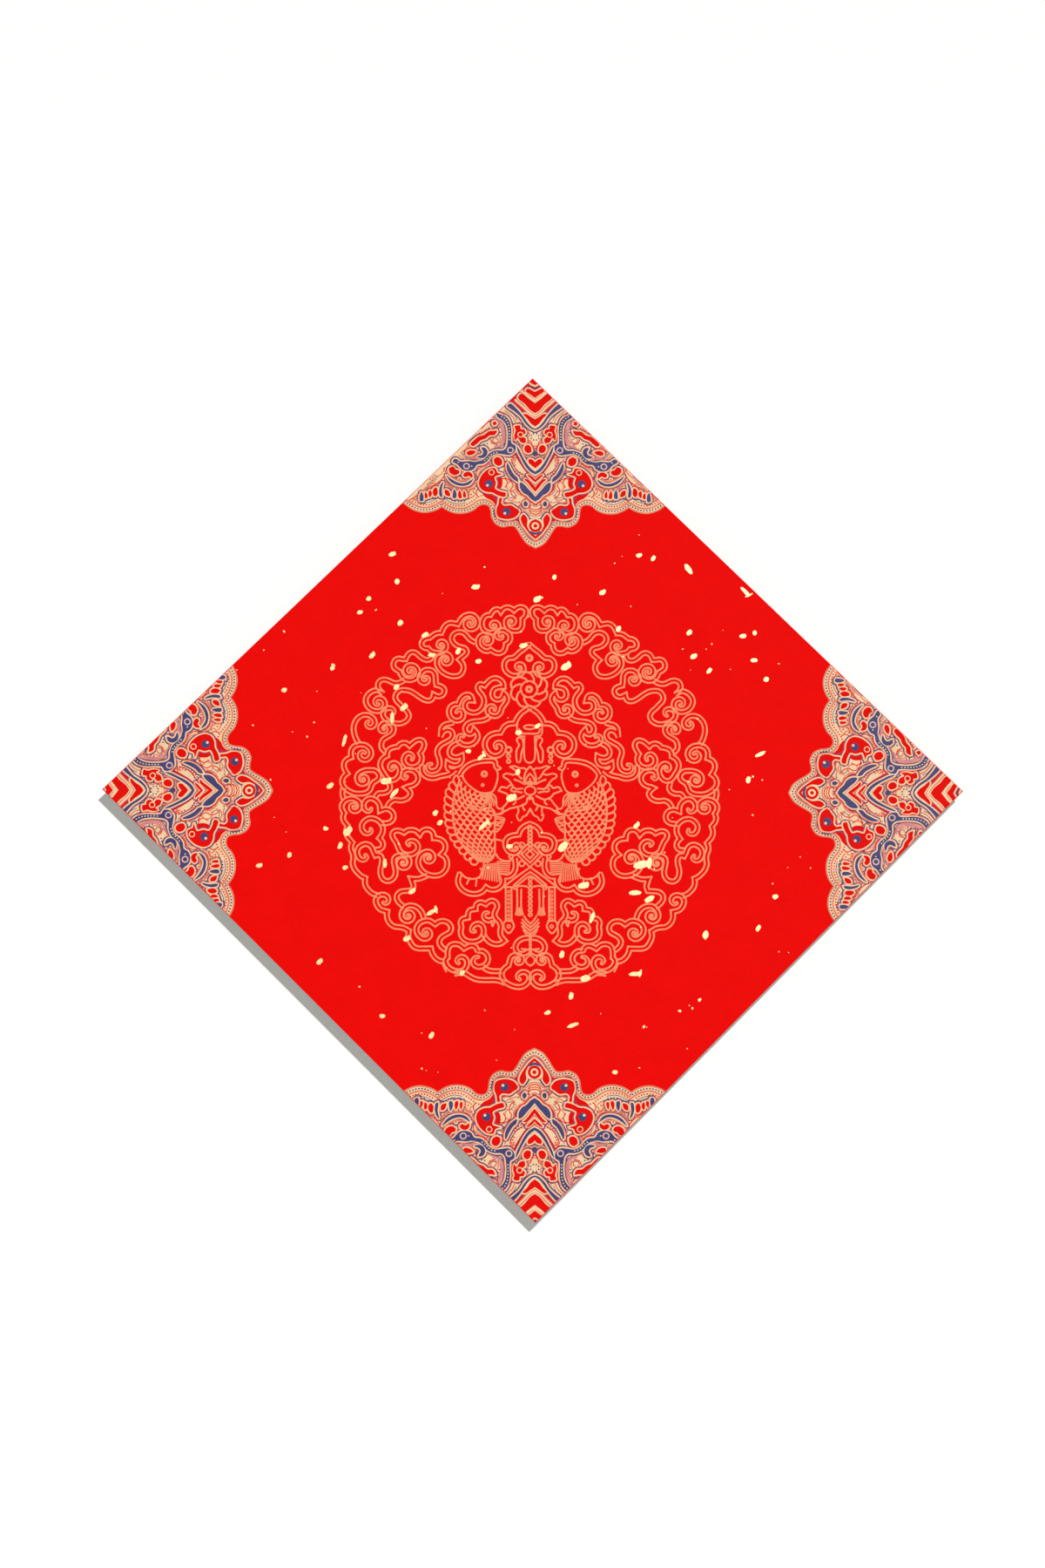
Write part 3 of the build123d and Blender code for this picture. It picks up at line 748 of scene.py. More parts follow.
CLOUD_RING = """
@-12.7,96.9,-1.1,0.9 -15.5,95.9 -15,94 -13.2,92.2 -10.7,91.6 -8.2,92 -6.5,93.9 -6.2,96.4 -6.2,98.4^
  -4.5,100.3 -4,102.4 -4.1,103.6 -5.3,105 -7.1,105.5 -8.9,105.1 -10.95,103.4^ -12.3,104.6 -14.6,105.3
  -16.9,104.6 -18.4,102.7^ -19.5,104 -21.5,104.1 -23.2,102.6 -24.3,100.8^ -26.2,100.7 -28,99.3
  -28.9,97.3 -29.1,95.2 -28.2,92.5 -26.2,90.9 -23.9,90.5 -21.6,91.3 -19.8,93.2 @-22.4,94.5,0.8,0.9;
@-18.3,88.7,0.85,0.7 -15.6,91.4 -13.6,89.8 -13,87.6 -13.8,85.2 -15.6,83.9^ -15.9,81.8 -17,79.7 -19,78.7
  -21.4,78.9 -24.1,80.6^ -25.4,79.9 -27.2,79.9 -29.2,81 -30.7,82.7 -31.3,84.8 -31,87 -29.3,89 -26.8,89.5
  @-26.4,86.1,-0.95,0.7;
-33,84.9 -35.7,86.4 -37.4,88.3 -39,90 -40.9,90.8 -43,90.7 -45,89.5 -46,87.3 -45.3,85 -43.5,83.2
  -41.2,82.2 -38.9,81.6 -37.6,80 -38,78.2 -39.7,76.6 -41.8,74.8^ -40.2,73 -39.4,70.9 -39.8,68.2
  -41.6,65.9 -44.8,65.2 -48,65.8 -51.2,67.6 -53.5,70.1 -54.4,72.7 -53.9,75.6 -52,77.7
  @-49.5,74.7,-1.1,0.9;
@-35.7,95.9,-1.2,0.8 -32.3,99.2 -34,100.7 -36.2,101.1 -38.9,100.3 -40.8,98.6 -42,96.6 -42.7,95.3^
  -44.8,95.9 -47.1,96.1 -49.2,95.1 -50.7,93.2 -51.5,91.4 -52,90.3^ -54,90.2 -55.8,89.5 -57.5,88.2
  -58.6,87.4^ -60.4,87.1 -62.1,86.1 -63,84.4 -62.7,82.6 -61,81.4 -59.3,81.3^ -57.7,79.7 -55.2,78.8
  -52.6,78.8 -50.4,80 @-52.2,83,0.95,0.8;
-57,77.6 -57.4,75.8 -58.6,74.8 -60.4,74.6 -62.2,75.3 -64,76.6 -65.8,78.3 -67.9,79.1 -70,78.3 -71.3,76.6
  -72,75^ -73.6,75 -75.7,75.4 -77.7,74.6 -78.8,72.5 -78.5,70.2 -76.8,68.7 -75.3,67.8^ -74.4,65.8 -73,64
  -71,63 -68.7,63 -66.5,64 @-69.4,68,1.25,0.8;
@-60.9,63.7,0.95,0.8 -63.4,66.3 -61.6,68.5 -59.3,69 -56.9,68.4 -55.4,66.5 -55,64 -54.9,61.8 -54.6,60.2^
  -52.3,59.5 -50.5,58.2 -50.1,56.5 -51.2,54.4 -53.6,53.6 -56.2,54.7^ -56.7,52.6 -58.3,51.2 -61,51.4
  -63.8,53 -66.6,55 -69.4,56.6 -72.5,57.2 -75.2,56.9 -77,55.3 -77.7,53 -77,51 -75.2,49.1 -73.3,47^
  -71.1,45 -70,42.5 -71,40 -73.6,38.3 -76.3,37.9 -79,38.4 -81.8,39.5 -84,41.6 -84.5,44 -83.2,46.1
  -80.9,46.8 -78.8,46 -78.4,44 -79.6,42.8o;
-72.7,62.8 -74.5,61.8 -76.3,61.2 -78.4,61.2 -80.6,62.2 -82.9,63.1 -85.2,63 -87,61.7 -87.5,59.5
  -86.9,57.7 -84.9,55.4^ -87.6,57 -89.4,56.9 -92,55.5 -93.8,53.2 -94.3,50.7
  -93.4,48.2 -91.6,46.2 -89.3,45.2 @-87.2,49.7,1.1,0.8;
-98.2,26.8 -99.5,29 -100.6,32.4 -100.9,35.3 -100.4,38 -99,40.5 -97,42.2 -94.5,42.9 -92,42.4 -90,40.8
  @-92.1,38.1,-0.8,1.2;
@-95.1,20.3,-0.7,1.0 -93.3,17.2 -91.6,18.7 -90.9,21 -91.8,23.5 -93.9,25.3 -96.5,25.9 -98.6,25.7
  -100.6,24.8 -102,23 -102.4,20.7 -102.1,18.5^ -104.4,17.5 -105.9,15.7 -106.2,13.5 -105.5,11.2
  -104.3,9.3^ -106.2,7.6 -107.1,5.3 -106.8,3 -105.2,0.7 -102.9,-0.9 -100.2,-2 -97,-2.2 -93.8,-1.7
  -91.6,0 -90.8,2.3 -89.6,4.2 -87.5,5.6 -86.5,7.4 -87.1,9.5 -88.9,11 -91.5,11.3 -94.3,11.1 -97,10
  -98.5,8.4 -98.8,6.2 -97.9,4.1 -96,3.3 -94,3.9 @-95.5,6.1,0.75,0.8;
@-83.8,34.9,0.8,0.7 -85.8,36.4 -84.4,38 -82.3,38.3 -80.2,37.9 -78.8,36.3 -78.4,34.4 -79.3,32.2
  -81.6,30.5 -84.2,28.8 -85.3,26.3 -85.1,23.8 -83.4,21.8;
-78.2,12.6o -79.5,11.4 -80.7,12.6 -80.2,14.5 -78.3,15.4 -76.1,14.3 -75,12 -75.2,9.3 -76.4,7 -78.5,5.6
  -80.7,5.7 -82.5,7.2 -84,9.5 -85.3,11.7 -86,14.4 -85.2,17 -83.6,18.7 -82.1,19.5^ -82,21.3 -81,23.1
  -78.8,24.2 -76.3,24.7^ -74.8,26.3 -72.6,26.9 -70.9,26.4 -69.6,25.2^ -68.1,26.6 -66.1,28.1 -63.8,28.7
  -62,27.8 -61.3,25.8 -62,23.5 -63.6,20.9^ -62.7,18.6 -63,16.2 -64.7,14 -67.5,13 -70.5,13.5 -72.4,15.3
  -72.9,17.5 -72,19.7 -70.2,20.8 -68.4,20.2 -67.6,18.6 -68.2,17.3o;
-71,7.6o -72.2,6.4 -73.3,7.4 -73.3,9.3 -72.3,10.9 -70.2,11.5 -67.5,11 -65.4,9.2 -64.7,6.7 -65.5,4.4
  -67.8,2.6 -70.3,2 -71.6,1.4^ -70,0 -68.9,-2 -70.2,-4.4 -72.5,-5.7 -74.7,-6 -77.5,-5.7 -79.7,-6.6
  -81.1,-8.2 -81.8,-9.8;
-90.8,-10.6o -91.3,-11.9 -92.9,-12.2 -94.5,-10.9 -95.1,-8.5 -94,-6.2 -92,-4.9 -89.8,-5.1 -87.6,-6.5
  -86.2,-8.8 -85.9,-11.9^ -83,-10.9 -80.3,-11.5 -78.5,-13.6 -78.4,-16.2 -80,-18.2 -82.4,-18.9
  -84.6,-18.9;
-91,-22.2o -90.6,-23.6 -92,-24.7 -93.9,-24.6 -95.6,-22.8 -96,-20.3 -94.8,-18 -92.5,-16.4 -89.8,-16.2
  -87.3,-17.2 -85.2,-19.2 -84.2,-21.8 -84.6,-24.8 -86.2,-27.4^ -84.5,-29.4 -84.1,-31.6 -85.5,-33.5
  -88,-33.9;
@-100.3,-9.5,-1.1,0.8 -98.6,-6.1 -101,-5 -103.5,-5.2 -105.7,-6.4 -107.2,-8.9 -106.9,-11.2 -105.8,-13.2^
  -106.5,-15.5 -105.9,-17.8 -103.9,-20.4^ -104.6,-23.3 -104,-26.3 -102.4,-28.4 -101.2,-29.9^
  -101.9,-31.8 -101.8,-34 -100.9,-36.2 -100.6,-38.9 -100.9,-41.6 -100,-44.5 -98,-47.1 -96,-48.9
  -93.9,-49.9^ -94.1,-52.1 -93.6,-54.4 -92,-56.7 -89.8,-58.6 -87.4,-59.5;
-106.6,0.5 -106.9,-2 -106.3,-4.8;
-88.6,-4.2 -86.8,-2 -84,-1.8 -81.6,-0.8 -80.4,1 -81,4.5;
-93.9,-36.9o -92.9,-38.3 -94.5,-39.7 -96.6,-39.3 -98.1,-37.2 -98.4,-34.5 -97,-32.1 -94,-30.7 -91.5,-31.4
  -90,-33.3 -89.2,-35.4 -88.2,-37.3^ -86.2,-36.9 -84.9,-38.2 -84.7,-41.6 -85.4,-44.5 -85.4,-47.5
  -84.3,-50.2 -82,-51.6 -79.3,-51 -77.5,-48.9 -77,-46.2 -77.5,-43.5 -78,-40.8 -77.7,-38.6 -76,-37.3
  -73.4,-37 @-72.9,-41.2,-1.5,0.7;
-69.6,-31.4o -70.7,-30 -68.6,-28.8 -66.1,-29.5 -64.6,-31.9 -65.2,-34.4 -67.4,-36.2 -70,-36.7 -72.6,-36.2
  -74.7,-34.6 -75.9,-32 -77,-29.5 -78.6,-27.1 -79,-24.9 -77.7,-23.4 -75.4,-23.1 -72.5,-24.3^ -70.3,-22.9
  -67.6,-22.7 -65.6,-23.4 -63.7,-25.3^ -62.4,-23.4 -60.3,-22.4 -57.9,-22.8 -56.3,-24.5 -55.8,-27.4^
  -52.8,-27.8 -50.3,-29.5 -49.4,-32 -49.9,-34.4 -51.7,-36.5^ -49.4,-38.3 -48.4,-41.3 -49,-44.7
  -51.3,-47.4 -54.6,-48.5 -58.6,-48 -62,-46.1 -64,-43.2 -64.5,-40 -62.9,-36.5 -60,-34.9
  @-59,-38.4,-1.1,0.7;
-59.8,-48.6 -61.4,-49.3 -63.8,-50.2 -66.3,-50.4 -68.4,-50.2^ -67.6,-52.4 -67.1,-54.5 -67.9,-56.9^
  -71,-57.1 -73.9,-57.5 -75.9,-59 -76.4,-61 -75.6,-63 -73.9,-64.8 -72.4,-65.9;
-83.8,-63.7o -82.6,-64.4 -81.2,-63.4 -80.9,-61.6 -82,-59.9 -84.3,-59.2 -86.7,-60 -88,-62.5 -87.2,-65.4
  -85.3,-67.6 -81.6,-68.7^ -81.8,-71.1 -81.1,-73.8 -79.4,-76 -77.3,-77.2 -74.5,-77.5 -72.3,-78
  -69.6,-79.6^ -69.9,-82.7 -68.8,-85.6 -66.9,-88.3 -64.5,-89.3 -61.8,-89.4 -57.4,-89.3^ -56.7,-91.9
  -55.2,-94.3 -53.2,-95.9 -50.8,-96.7;
-61.3,-72.2 -62.6,-68.9 -64.8,-66.5 -67.4,-65.4 -70.2,-65.5 -72.2,-67 -73.5,-69.4 @-70,-71,1.35,0.7;
@-60.3,-80.7,1.0,0.7 -63.2,-83 -65,-80.8 -65.3,-77.9 -63.7,-75.2 -61,-73.9 -58.3,-73.8 -55,-75.8^
  -53,-74.4 -50.5,-74 -47.9,-74.9 -46.2,-77.4 -46.8,-80.1 -49.1,-81.5 -51.4,-83 -52.7,-85.3 -52.2,-87.5
  -50.8,-89.1 -49.3,-90.2;
-42,-97.6o -43.2,-96.3 -42.3,-94.8 -40.6,-94 -38.6,-94.6 -37.4,-96.6 -37.6,-99.1 -39,-101.2 -41.4,-102.1
  -44.2,-101.8 -47,-100.4 -48.9,-98 -49.2,-95.8 -48.1,-94.4^ -48.1,-91.8 -47.7,-89.2 -46.4,-87.5
  -44,-86.8 -41.4,-87.4 -39,-89.4^ -36.8,-88.2 -34.5,-87.7 -32.6,-88.6 -31.5,-90.6;
-31.2,-94o -32.7,-94.3 -34.1,-96.2 -33.5,-98.4 -31.3,-99.6 -28.8,-99.2 -26.6,-97.6 -25.7,-95.2
  -26.5,-92.6 -28.5,-90.9 -31.3,-90.5;
-28.4,-99.8 -26.6,-101 -24.6,-101.8 -22,-102 -18.6,-102;
-44,-103.4 -41.3,-103 -38.6,-103.2 -36.4,-104.5 -33.8,-106 -30.8,-106.8 -26.4,-107 -21.8,-107 -19,-107.6
  -16.6,-108.6;
-33,-79.8o -34.7,-79.6 -34.6,-77.6 -32.9,-75.9 -30.8,-75.5 -28.8,-76.9 -28.1,-79.3 -28.5,-82 -30.2,-84.3
  -32.8,-85.4 -35.8,-85.5 -38.5,-84.5 -40.4,-82.4 -40.9,-79.8 -40.5,-77.2 -41,-75 -40,-73 -36.9,-72.1^
  -36.8,-69.9 -35.9,-68 -32.6,-67.3^ -32.5,-65.4 -31.4,-63.9 -29.4,-63.5 -27,-64.5^ -25.2,-63
  -23.2,-62.5 -21.3,-63.7 -20.6,-65.8 -21.5,-68 -22.2,-70.2 -21.4,-72.4 -19.6,-74.4 -18.7,-76.9
  -19,-79.6 -18.7,-82.2 -16.5,-85^ -18.8,-86.6 -21.8,-86.9 -24.6,-85.9 -26.8,-83.8 -28.1,-81.6;
-25.8,-69.2o -27.5,-69.4 -28.2,-71 -27.3,-72.9 -25.2,-73.6 -22.6,-72.6;
"""

RING_TAILS = """
-51,-97.5 -50,-100 -49,-102;
-23.9,-74 -23.3,-77 -22.2,-74.6;
"""

INNER_CLOUDS = """
-43.4,44.5o -42.6,45.8 -40.5,45.6 -39.4,43.5 -40.1,41 -42.4,39.7 -45.1,40.2 -47,42.2 -47.6,45 -46.7,47.6
  -44.6,49 -42.4,49.2^ -41.4,51.7 -39.8,53.7 -37.4,54.8 -35.2,53.9 -34.3,51.2^ -36.6,51.2 -38.3,49.7
  -38.5,47.4 -37.3,45.5 -34.8,44.4 -32.2,44.5 -29.8,46 -28.3,48.4 -27.8,51.4 -28.8,54.2 -30.7,56.7
  -31.5,58.8 -30.2,60.8 -27.6,59.9^ -25.8,62 -23.6,63.8 -21,64.2 -18.7,63.2 -17.1,61.2 -16.9,59.2^
  -19.5,58.9 -22,58 -23.2,55.6 -22.7,53.1 -20.6,51.8 -18.4,52.4 -17.3,54.1 -16.8,55.6^ -15.4,54 -15,51.6
  -16.4,49 -17.8,47 -18.5,44.6 -20.2,42.7 -22.8,42.4 -25.2,43.6 -26.1,45.7 -25.2,47.6 -23.3,48.3
  -21.8,47.2 -22,45.9o;
-45.4,38.6 -47.4,38 -49.8,37.4 -51.5,35.7 -52,33.2 -52.1,31^ -50.8,33.2 -48.7,34.4 -46.4,33.8 -45.4,31.7
  -46.2,29.4 -48.8,27.6 -51.9,25.8 -53.8,23.4 -54,20.7 -53.1,18 -52.7,15.3 -53.5,12.5 -55.5,11 -58,10.9
  -59.5,12.6 -58.8,14.6 -57.3,14.8o;
-62.6,14 -62.6,11 -61.3,8.5 -58.6,7 -55.4,6.8 -52.4,7.8 -49,8.5 -46.4,9.6 -44.4,11.4^ -46.8,11.3
  -48.3,12.9 -48.2,15.6^ -46.3,14.6 -43.9,14.1 -41.6,15 -40.3,17.2 -40.4,19.7^ -42.6,18.8 -44.9,18.8
  -46.8,20 -47.2,22.2 -46.2,24.5 -44,26.2 -41.6,27.1;
-24.6,42.4 -26,41 -28.6,39.9 -31.6,39.5 -34.8,39 -37.3,37.7 -38.5,35.5 -38,33.2 -36.3,32 -34.4,32.5
  -33.5,34.6^ -32,32.8 -31.4,30.3 -32.8,27.6 -35.3,26 -38,25.7 -40.6,26.5 -42.3,28.4 -42.1,30.6
  -40.4,31.4 -39.4,30.6o;
"""

CLOUD_HEAD = """
-7.4,69.3o -9.2,69.8 -9.7,71.3 -8.3,72.4 -6.4,71.9 -5.5,69.9 -6.4,67.5 -8.6,65.9 -11.4,65.7 -14,66.8
  -15.9,68.8 -16.6,71.4 -16,74 -14,75.7 -11.4,76^ -9.8,77.3 -7.8,79.3 -5.2,81.3 -2.4,83.9;
"""

CHIME_HEAD = """
-21,24o -21.8,25.2 -21.2,26.8 -19.6,27.3 -17.7,26.6 -16.6,24.6 -17.2,22.2 -19,20.3 -21.7,19.5 -24.3,20.3
  -26.4,22.5 -27.5,25.7 -26.8,29 -24.6,31.4 -21.6,32.6 -18.7,32.9^ -17.8,34.4 -16.5,36.4 -14,37.9
  -10.7,38.2^ -9.2,41.3 -6.7,44.4 -2.4,47.3;
"""

CHIME_LINES = """
-9.3,38 -9.3,32.4 -8.4,31.2^ -5.4,30.6^ -5.4,19.4 -4.8,17 -3.6,15.9 -2.4,15.7;
-8.2,34.8 -7.6,33 -6.2,32.4 -2.4,32.4;
-7.6,30.2 -6.4,29 -5.9,27 -5.9,24.4 -6.8,22 -7.2,20 -7.4,17.6 -8.2,15.8 -9.2,16 -9.7,17.4 -9.7,22.7
  -9,24.3 -8.2,25.7 -8.8,27 -9.5,28.4 -9.2,29.6 -7.6,30.2;
"""

LOTUS_LINES = """
-2.2,9.4 -0.8,8 0.2,6 0.6,3.6;
-2.2,4.5 -2.2,6.3;
1,3.6 1.1,7 0.4,10 -0.9,12.2 -2.2,13.5;
0,11.7 1.3,12.7 3,12.5 4.7,13 6.7,13.8 8.7,13.3^ 7.3,12.3 5.7,11 4.7,9.3 3.7,7.7 2.7,6.7;
5.3,9.3 7,8.8 9,9.2 11,9.5 12.7,8.5 12.3,7.3 10.5,6.3 9,4.7 7.7,2.7 6.3,1;
1.3,3.7 3.7,5 6.3,6;
7.7,2.7 9.3,2.7 10.7,1.3 12.7,1.8 14,1.7 15.3,-0.3^ 13,-1.2 11,-2 9.7,-3.7 8,-4.7 6,-5.3 4,-4.7 1.3,-3.3;
2.3,1 6,0.8 7,1.7;
2.7,-1.3 5.7,-0.7 7.7,-0.7 8.5,0.3 7.8,1.2;
8,-4.7 9.7,-5.7 11.3,-8 13,-10 13,-11.5;
1.3,-8 3.3,-9 6.3,-9.8 9.3,-10.5 11.3,-11.7 13,-11.7 14,-13 16.3,-13.7;
6,-5.7 6,-7 7,-8;
-2.2,-10.7 -1.3,-12.3 0,-14.3 2,-15.3 3,-17 4,-17.3 4.8,-16 5.2,-14.3 4.3,-12.3 4.5,-10.3;
-0.7,-4.7 0,-7.3 2,-9 1,-11.3;
"""

RIBBON_HEAD = """
-10.2,-33.4o -11.6,-33 -11.4,-31.5 -9.8,-30.9 -8.2,-32 -8.2,-34 -9.8,-35.4 -12.4,-35.7 -14.6,-34.4
  -15.9,-32 -16.1,-29.4 -15,-27.2 -12.7,-25.9 -8.7,-25.2^ -7.6,-22.6 -5.4,-20.4 -2.4,-19.1;
"""

TASSEL_LINES = """
-2.3,-43.6 -9.2,-48.6 -16.4,-54.2;
-11.2,-53.6 -7.8,-50.6 -5,-48.2 -2.3,-46.4;
-9.6,-54 -6.4,-51.4 -4.2,-49.6 -2.3,-48.6;
-10.4,-54.6 -6.4,-54.2 -4.2,-54.6;
-15.9,-55.4 -15.9,-73.6;
-12.7,-55.4 -12.7,-73.6;
-16.6,-54.9 -12.2,-54.9;
-12.4,-74 -16.2,-74 -17.2,-77 -14.3,-80.8 -11.4,-77 -12.4,-74;
-9.6,-56.4 -9.6,-66.4 -10.2,-70;
-7.3,-56.4 -7.3,-66.4 -6.6,-70;
-10.3,-70.2 -8.4,-70.6 -6.5,-70.2;
-9.2,-67.6 -9.4,-70;
-8.4,-66.8 -8.4,-70.2;
-7.6,-67.6 -7.4,-70;
-2.3,-75.4 -4.2,-73.6 -5.6,-71.4;
-2.3,-77.4 -4.6,-75.6 -6.6,-73.2;
-2.3,-79.4 -4.8,-77.4 -7,-75;
-2.3,-81.4 -4.8,-79.4 -6.8,-77;
-2.3,-83.2 -4.4,-81.4 -6,-79.2;
"""

CARP_LINES = """
-40,8.6 -38.4,11.2 -35.4,13.6 -31.2,15.1 -27,15.7 -22.8,15.4 -22.2,13.2 -20.7,11 -20.2,8.2 -20.7,5
  -21.7,1.8 -23.2,-0.7 -25,-1.5 -28.4,-1.7 -31.4,-0.9 -34.8,1.4 -38,4.4 z;
-42,9.6 -40.4,12.2 -37.6,14.9 -34,16.7 -30,17.6 -26,17.9 -21.6,17.6 -20.6,16 -20.3,14 -18.4,12.4 -20,11.6;
-27.5,-1.8 -29.6,-4 -29.8,-6.5 -31.6,-7.7 -33.5,-7.3;
-24,-1.5 -21.5,-4 -20.7,-9.5 -19.5,-10.5 -17.7,-10.5;
-34.6,-5 -35,-9.5 -33,-11 -30,-11.2 -27.8,-11;
-33.5,-9.1 -31.2,-11.4 -28.5,-11.4 -26.2,-12.3 -23.9,-11.8 -21.6,-13.6 -18.5,-13.6 -16.5,-12;
-21,-15 -16.6,-16.3 -17,-18 -19.5,-22.3 -21.6,-24;
-20.6,-19.6 -17.4,-17;
-21,-28 -18.3,-28.6;
-21.2,-36.4 -19.8,-38.6 -17.1,-40 -15,-40.2 -12.5,-39.5;
-41.2,-46.6 -39.8,-48.3 -37.2,-49.9 -34,-50.3 -31.2,-49.6 -29.4,-47.9 -29,-46 -29.8,-44.6;
-28,-41.7 -28,-45.3;
-36,-50 -37.5,-53;
-32,-50 -32.5,-54;
"""

CARP_TAIL = """
-10.8,-39.2 -10.4,-42 -10.7,-45 -12.2,-47.6 -14.8,-49 -18,-48.6^ -17.2,-51.2 -18.1,-53.8 -20.2,-55.7
  -22.8,-56.4 -25.1,-56 -26.8,-55^ -28.3,-57 -30.8,-58.4 -33.8,-58.8 -36.9,-58.2 -39.7,-56.6 -41.6,-54.3
  -42.4,-51.6 -42,-49.2 -41.3,-47.2;
"""

# The carp's back, the line inside its scutes, and its belly, from the gill to the tail root.
CARP_BACK = """
-42.6,8.8 -46.4,3.6 -48.9,-1.5 -49.5,-8 -49.4,-14.6 -48.6,-20.5 -47,-25.4 -44.6,-29.8 -41.6,-34
  -38.4,-37.8 -35.2,-40.8 -32.2,-42.6;
"""
CARP_SPINE = """
-41.6,5.4 -43.4,0.6 -44.8,-4 -45.4,-9.6 -45.3,-15 -44.7,-20.2 -43.4,-25.2 -41,-29.6 -38,-33.6
  -34.6,-37.2 -31,-40.4;
"""
CARP_BELLY = """
-24.2,-1.8 -25.6,-5 -24.6,-9 -22.2,-12.4 -21.6,-16 -22,-21 -22,-26 -21.8,-31 -22,-35.4 -23.2,-38.6 -26,-41;
"""
SCALE_COLUMNS = 12
SCALE_ROWS = 9
SCUTES = 13
SCUTE_BULGE = 0.7
GILL_BULGE = 2.8

BASE_CLOUD = """
@-9.2,-96,-0.9,0.7 -9.6,-93 -11.6,-93.1 -13.2,-94.4 -13.9,-96.6 -14.5,-98.8^ -16.6,-100.4 -18,-102.6
  -18,-105.2 -16.6,-107.6 -14,-109.5 -10.6,-110.7 -7.3,-110.7 -4.8,-109.3 -3.2,-107 -3.1,-104.6
  -4.6,-102.8 -7,-102.5 -9.2,-103.9 -9.5,-105.7 -8.2,-106.7o;
-2.4,-83.2 -6.6,-83.8 -9.4,-85.7 -10.6,-88.4 -9.8,-91 -7.6,-92.3 -5.2,-91.9 -3.6,-90.9;
"""
BASE_LINES = """
-7,-89.5 -5,-89.8 -2.4,-90.1;
-2.4,-93 -4.2,-94.4 -4.9,-96 -4.2,-97.8 -2.4,-98.9;
-2.4,-84 -2.4,-92;
"""


def at_share(line, share):
    """The place this share of the way along a line."""
    place = travel(line)
    return np.array([np.interp(share * place[-1], place, line[:, axis]) for axis in (0, 1)])


def fish_scales():
    """Rows of scales fanned out between belly and spine, rounded below, and a row of scutes on the back."""
    back, spine, belly = (single(line)[0] for line in (CARP_BACK, CARP_SPINE, CARP_BELLY))

    def place(column, row):
        share = min(max(row / SCALE_ROWS, 0.0), 1.0)
        outer, inner = at_share(spine, share), at_share(belly, share)
        # The first rows follow the round edge of the gill cover.
        sag = GILL_BULGE * math.sin(math.pi * column / SCALE_COLUMNS) * max(0.0, 1 - row / 4)
        return outer + (inner - outer) * column / SCALE_COLUMNS + sag * np.array([-0.5, -0.87])

    # Each scale's edge, in columns across and rows down from its lowest point.
    whole = [(-1, -0.5), (-0.75, -0.18), (0, 0.03), (0.75, -0.18), (1, -0.5)]
    edges = [belly, spine]
    for column in range(SCALE_COLUMNS):
        shape = whole if column else whole[2:]
        for step in range(SCALE_ROWS):
            row = step + (1.0 if column % 2 else 0.5)
            edges.append(smooth([place(column + across, row + down) for across, down in shape]))
    for k in range(SCUTES):
        start, end = at_share(spine, k / SCUTES), at_share(spine, (k + 1) / SCUTES)
        near, crest, far = (at_share(back, (k + part) / SCUTES) for part in (0.12, 0.5, 0.88))
        out = crest - (start + end) / 2
        edges.append(smooth([start, near, crest + SCUTE_BULGE * out / np.hypot(*out), far, end]))
    return edges


def on_both_sides(places, axis=MEDALLION_AXIS):
    """Places and their mirror images."""
    return [*places, *((2 * axis - x, z) for x, z in places)]


def medallion_piece(name, meshes, node_name):
    """One piece of the medallion, all of it in the salmon ink."""
    return printed_piece(name, meshes, SALMON, [node_name])


def carp(name, node_name, mirror):
    """One carp: head, scaled body with a row of scutes along its back, fins and a forked tail."""
    def side(lines):
        return flipped(lines) if mirror else lines

    def side_places(places):
        return [(2 * MEDALLION_AXIS - x, z) for x, z in places] if mirror else places

    rays = fan([(-28.2, -42.6), (-20.6, -41.4)], [(-30.4, -49.8), (-19.4, -51.8)], 9)
    rays += fan([(-20.4, -40.6), (-19.4, -47)], [(-13.6, -40.6), (-14.2, -47.6)], 7)
    rays += fan([(-26.4, -2.4), (-24.4, -2)], [(-28, -8.2), (-20.9, -8.8)], 6)
    rays += fan([(-21.6, -16), (-21.6, -22)], [(-17.8, -16.9), (-19.9, -22)], 4)
    meshes = [
        drawn(side(single(CARP_LINES)), SALMON),
        drawn(side(twin(CARP_TAIL)), SALMON),
        drawn(side(rays), SALMON, width=0.8),
        drawn(side(fish_scales()), SALMON, width=1.1),
        beads(side_places([(-27.8, 9.2)]), SALMON, 2.1, 0.5),
        beads(side_places([(-28.7, 2.9)]), SALMON, 1.1, 0.2),
    ]
    return medallion_piece(name, meshes, node_name)


def rosette_petals(x, z):
    """Eight swirled petals between the hub and the scalloped rim."""
    petals = []
    for k in range(8):
        a = math.tau * k / 8 + 0.2
        bend = [(4.6, a), (6.2, a + 0.12), (7.9, a + 0.34), (9.3, a + 0.5)]
        petals.append(smooth([np.array([x + r * math.cos(t), z + r * math.sin(t)]) for r, t in bend]))
    return petals


def scalloped_ring(x, z, radius, lobes, rise):
    """A closed rim of round lobes."""
    angles = np.linspace(0, math.tau, lobes * 8 + 1)
    reach = radius + rise * np.abs(np.sin(angles * lobes / 2))
    return np.stack([x + reach * np.cos(angles), z + reach * np.sin(angles)], axis=1)


def endless_knot():
    """Nested diamonds of cord, crossed at the middle, with a loop where each cord turns."""
    x, z = MEDALLION_AXIS, -36.4
    lines = []
    for reach in (2.2, 4.7, 7.2):
        corners = [(x + reach, z), (x, z - reach), (x - reach, z), (x, z + reach), (x + reach, z)]
        lines += [np.linspace(a, b, 6) for a, b in zip(corners, corners[1:])]
    for cx, cz in ((-6.9, -31.2), (2.1, -31.2), (-6.9, -41.6), (2.1, -41.6)):
        lines += round_trip([circle(cx, cz, 1.5, 14)])
    return lines


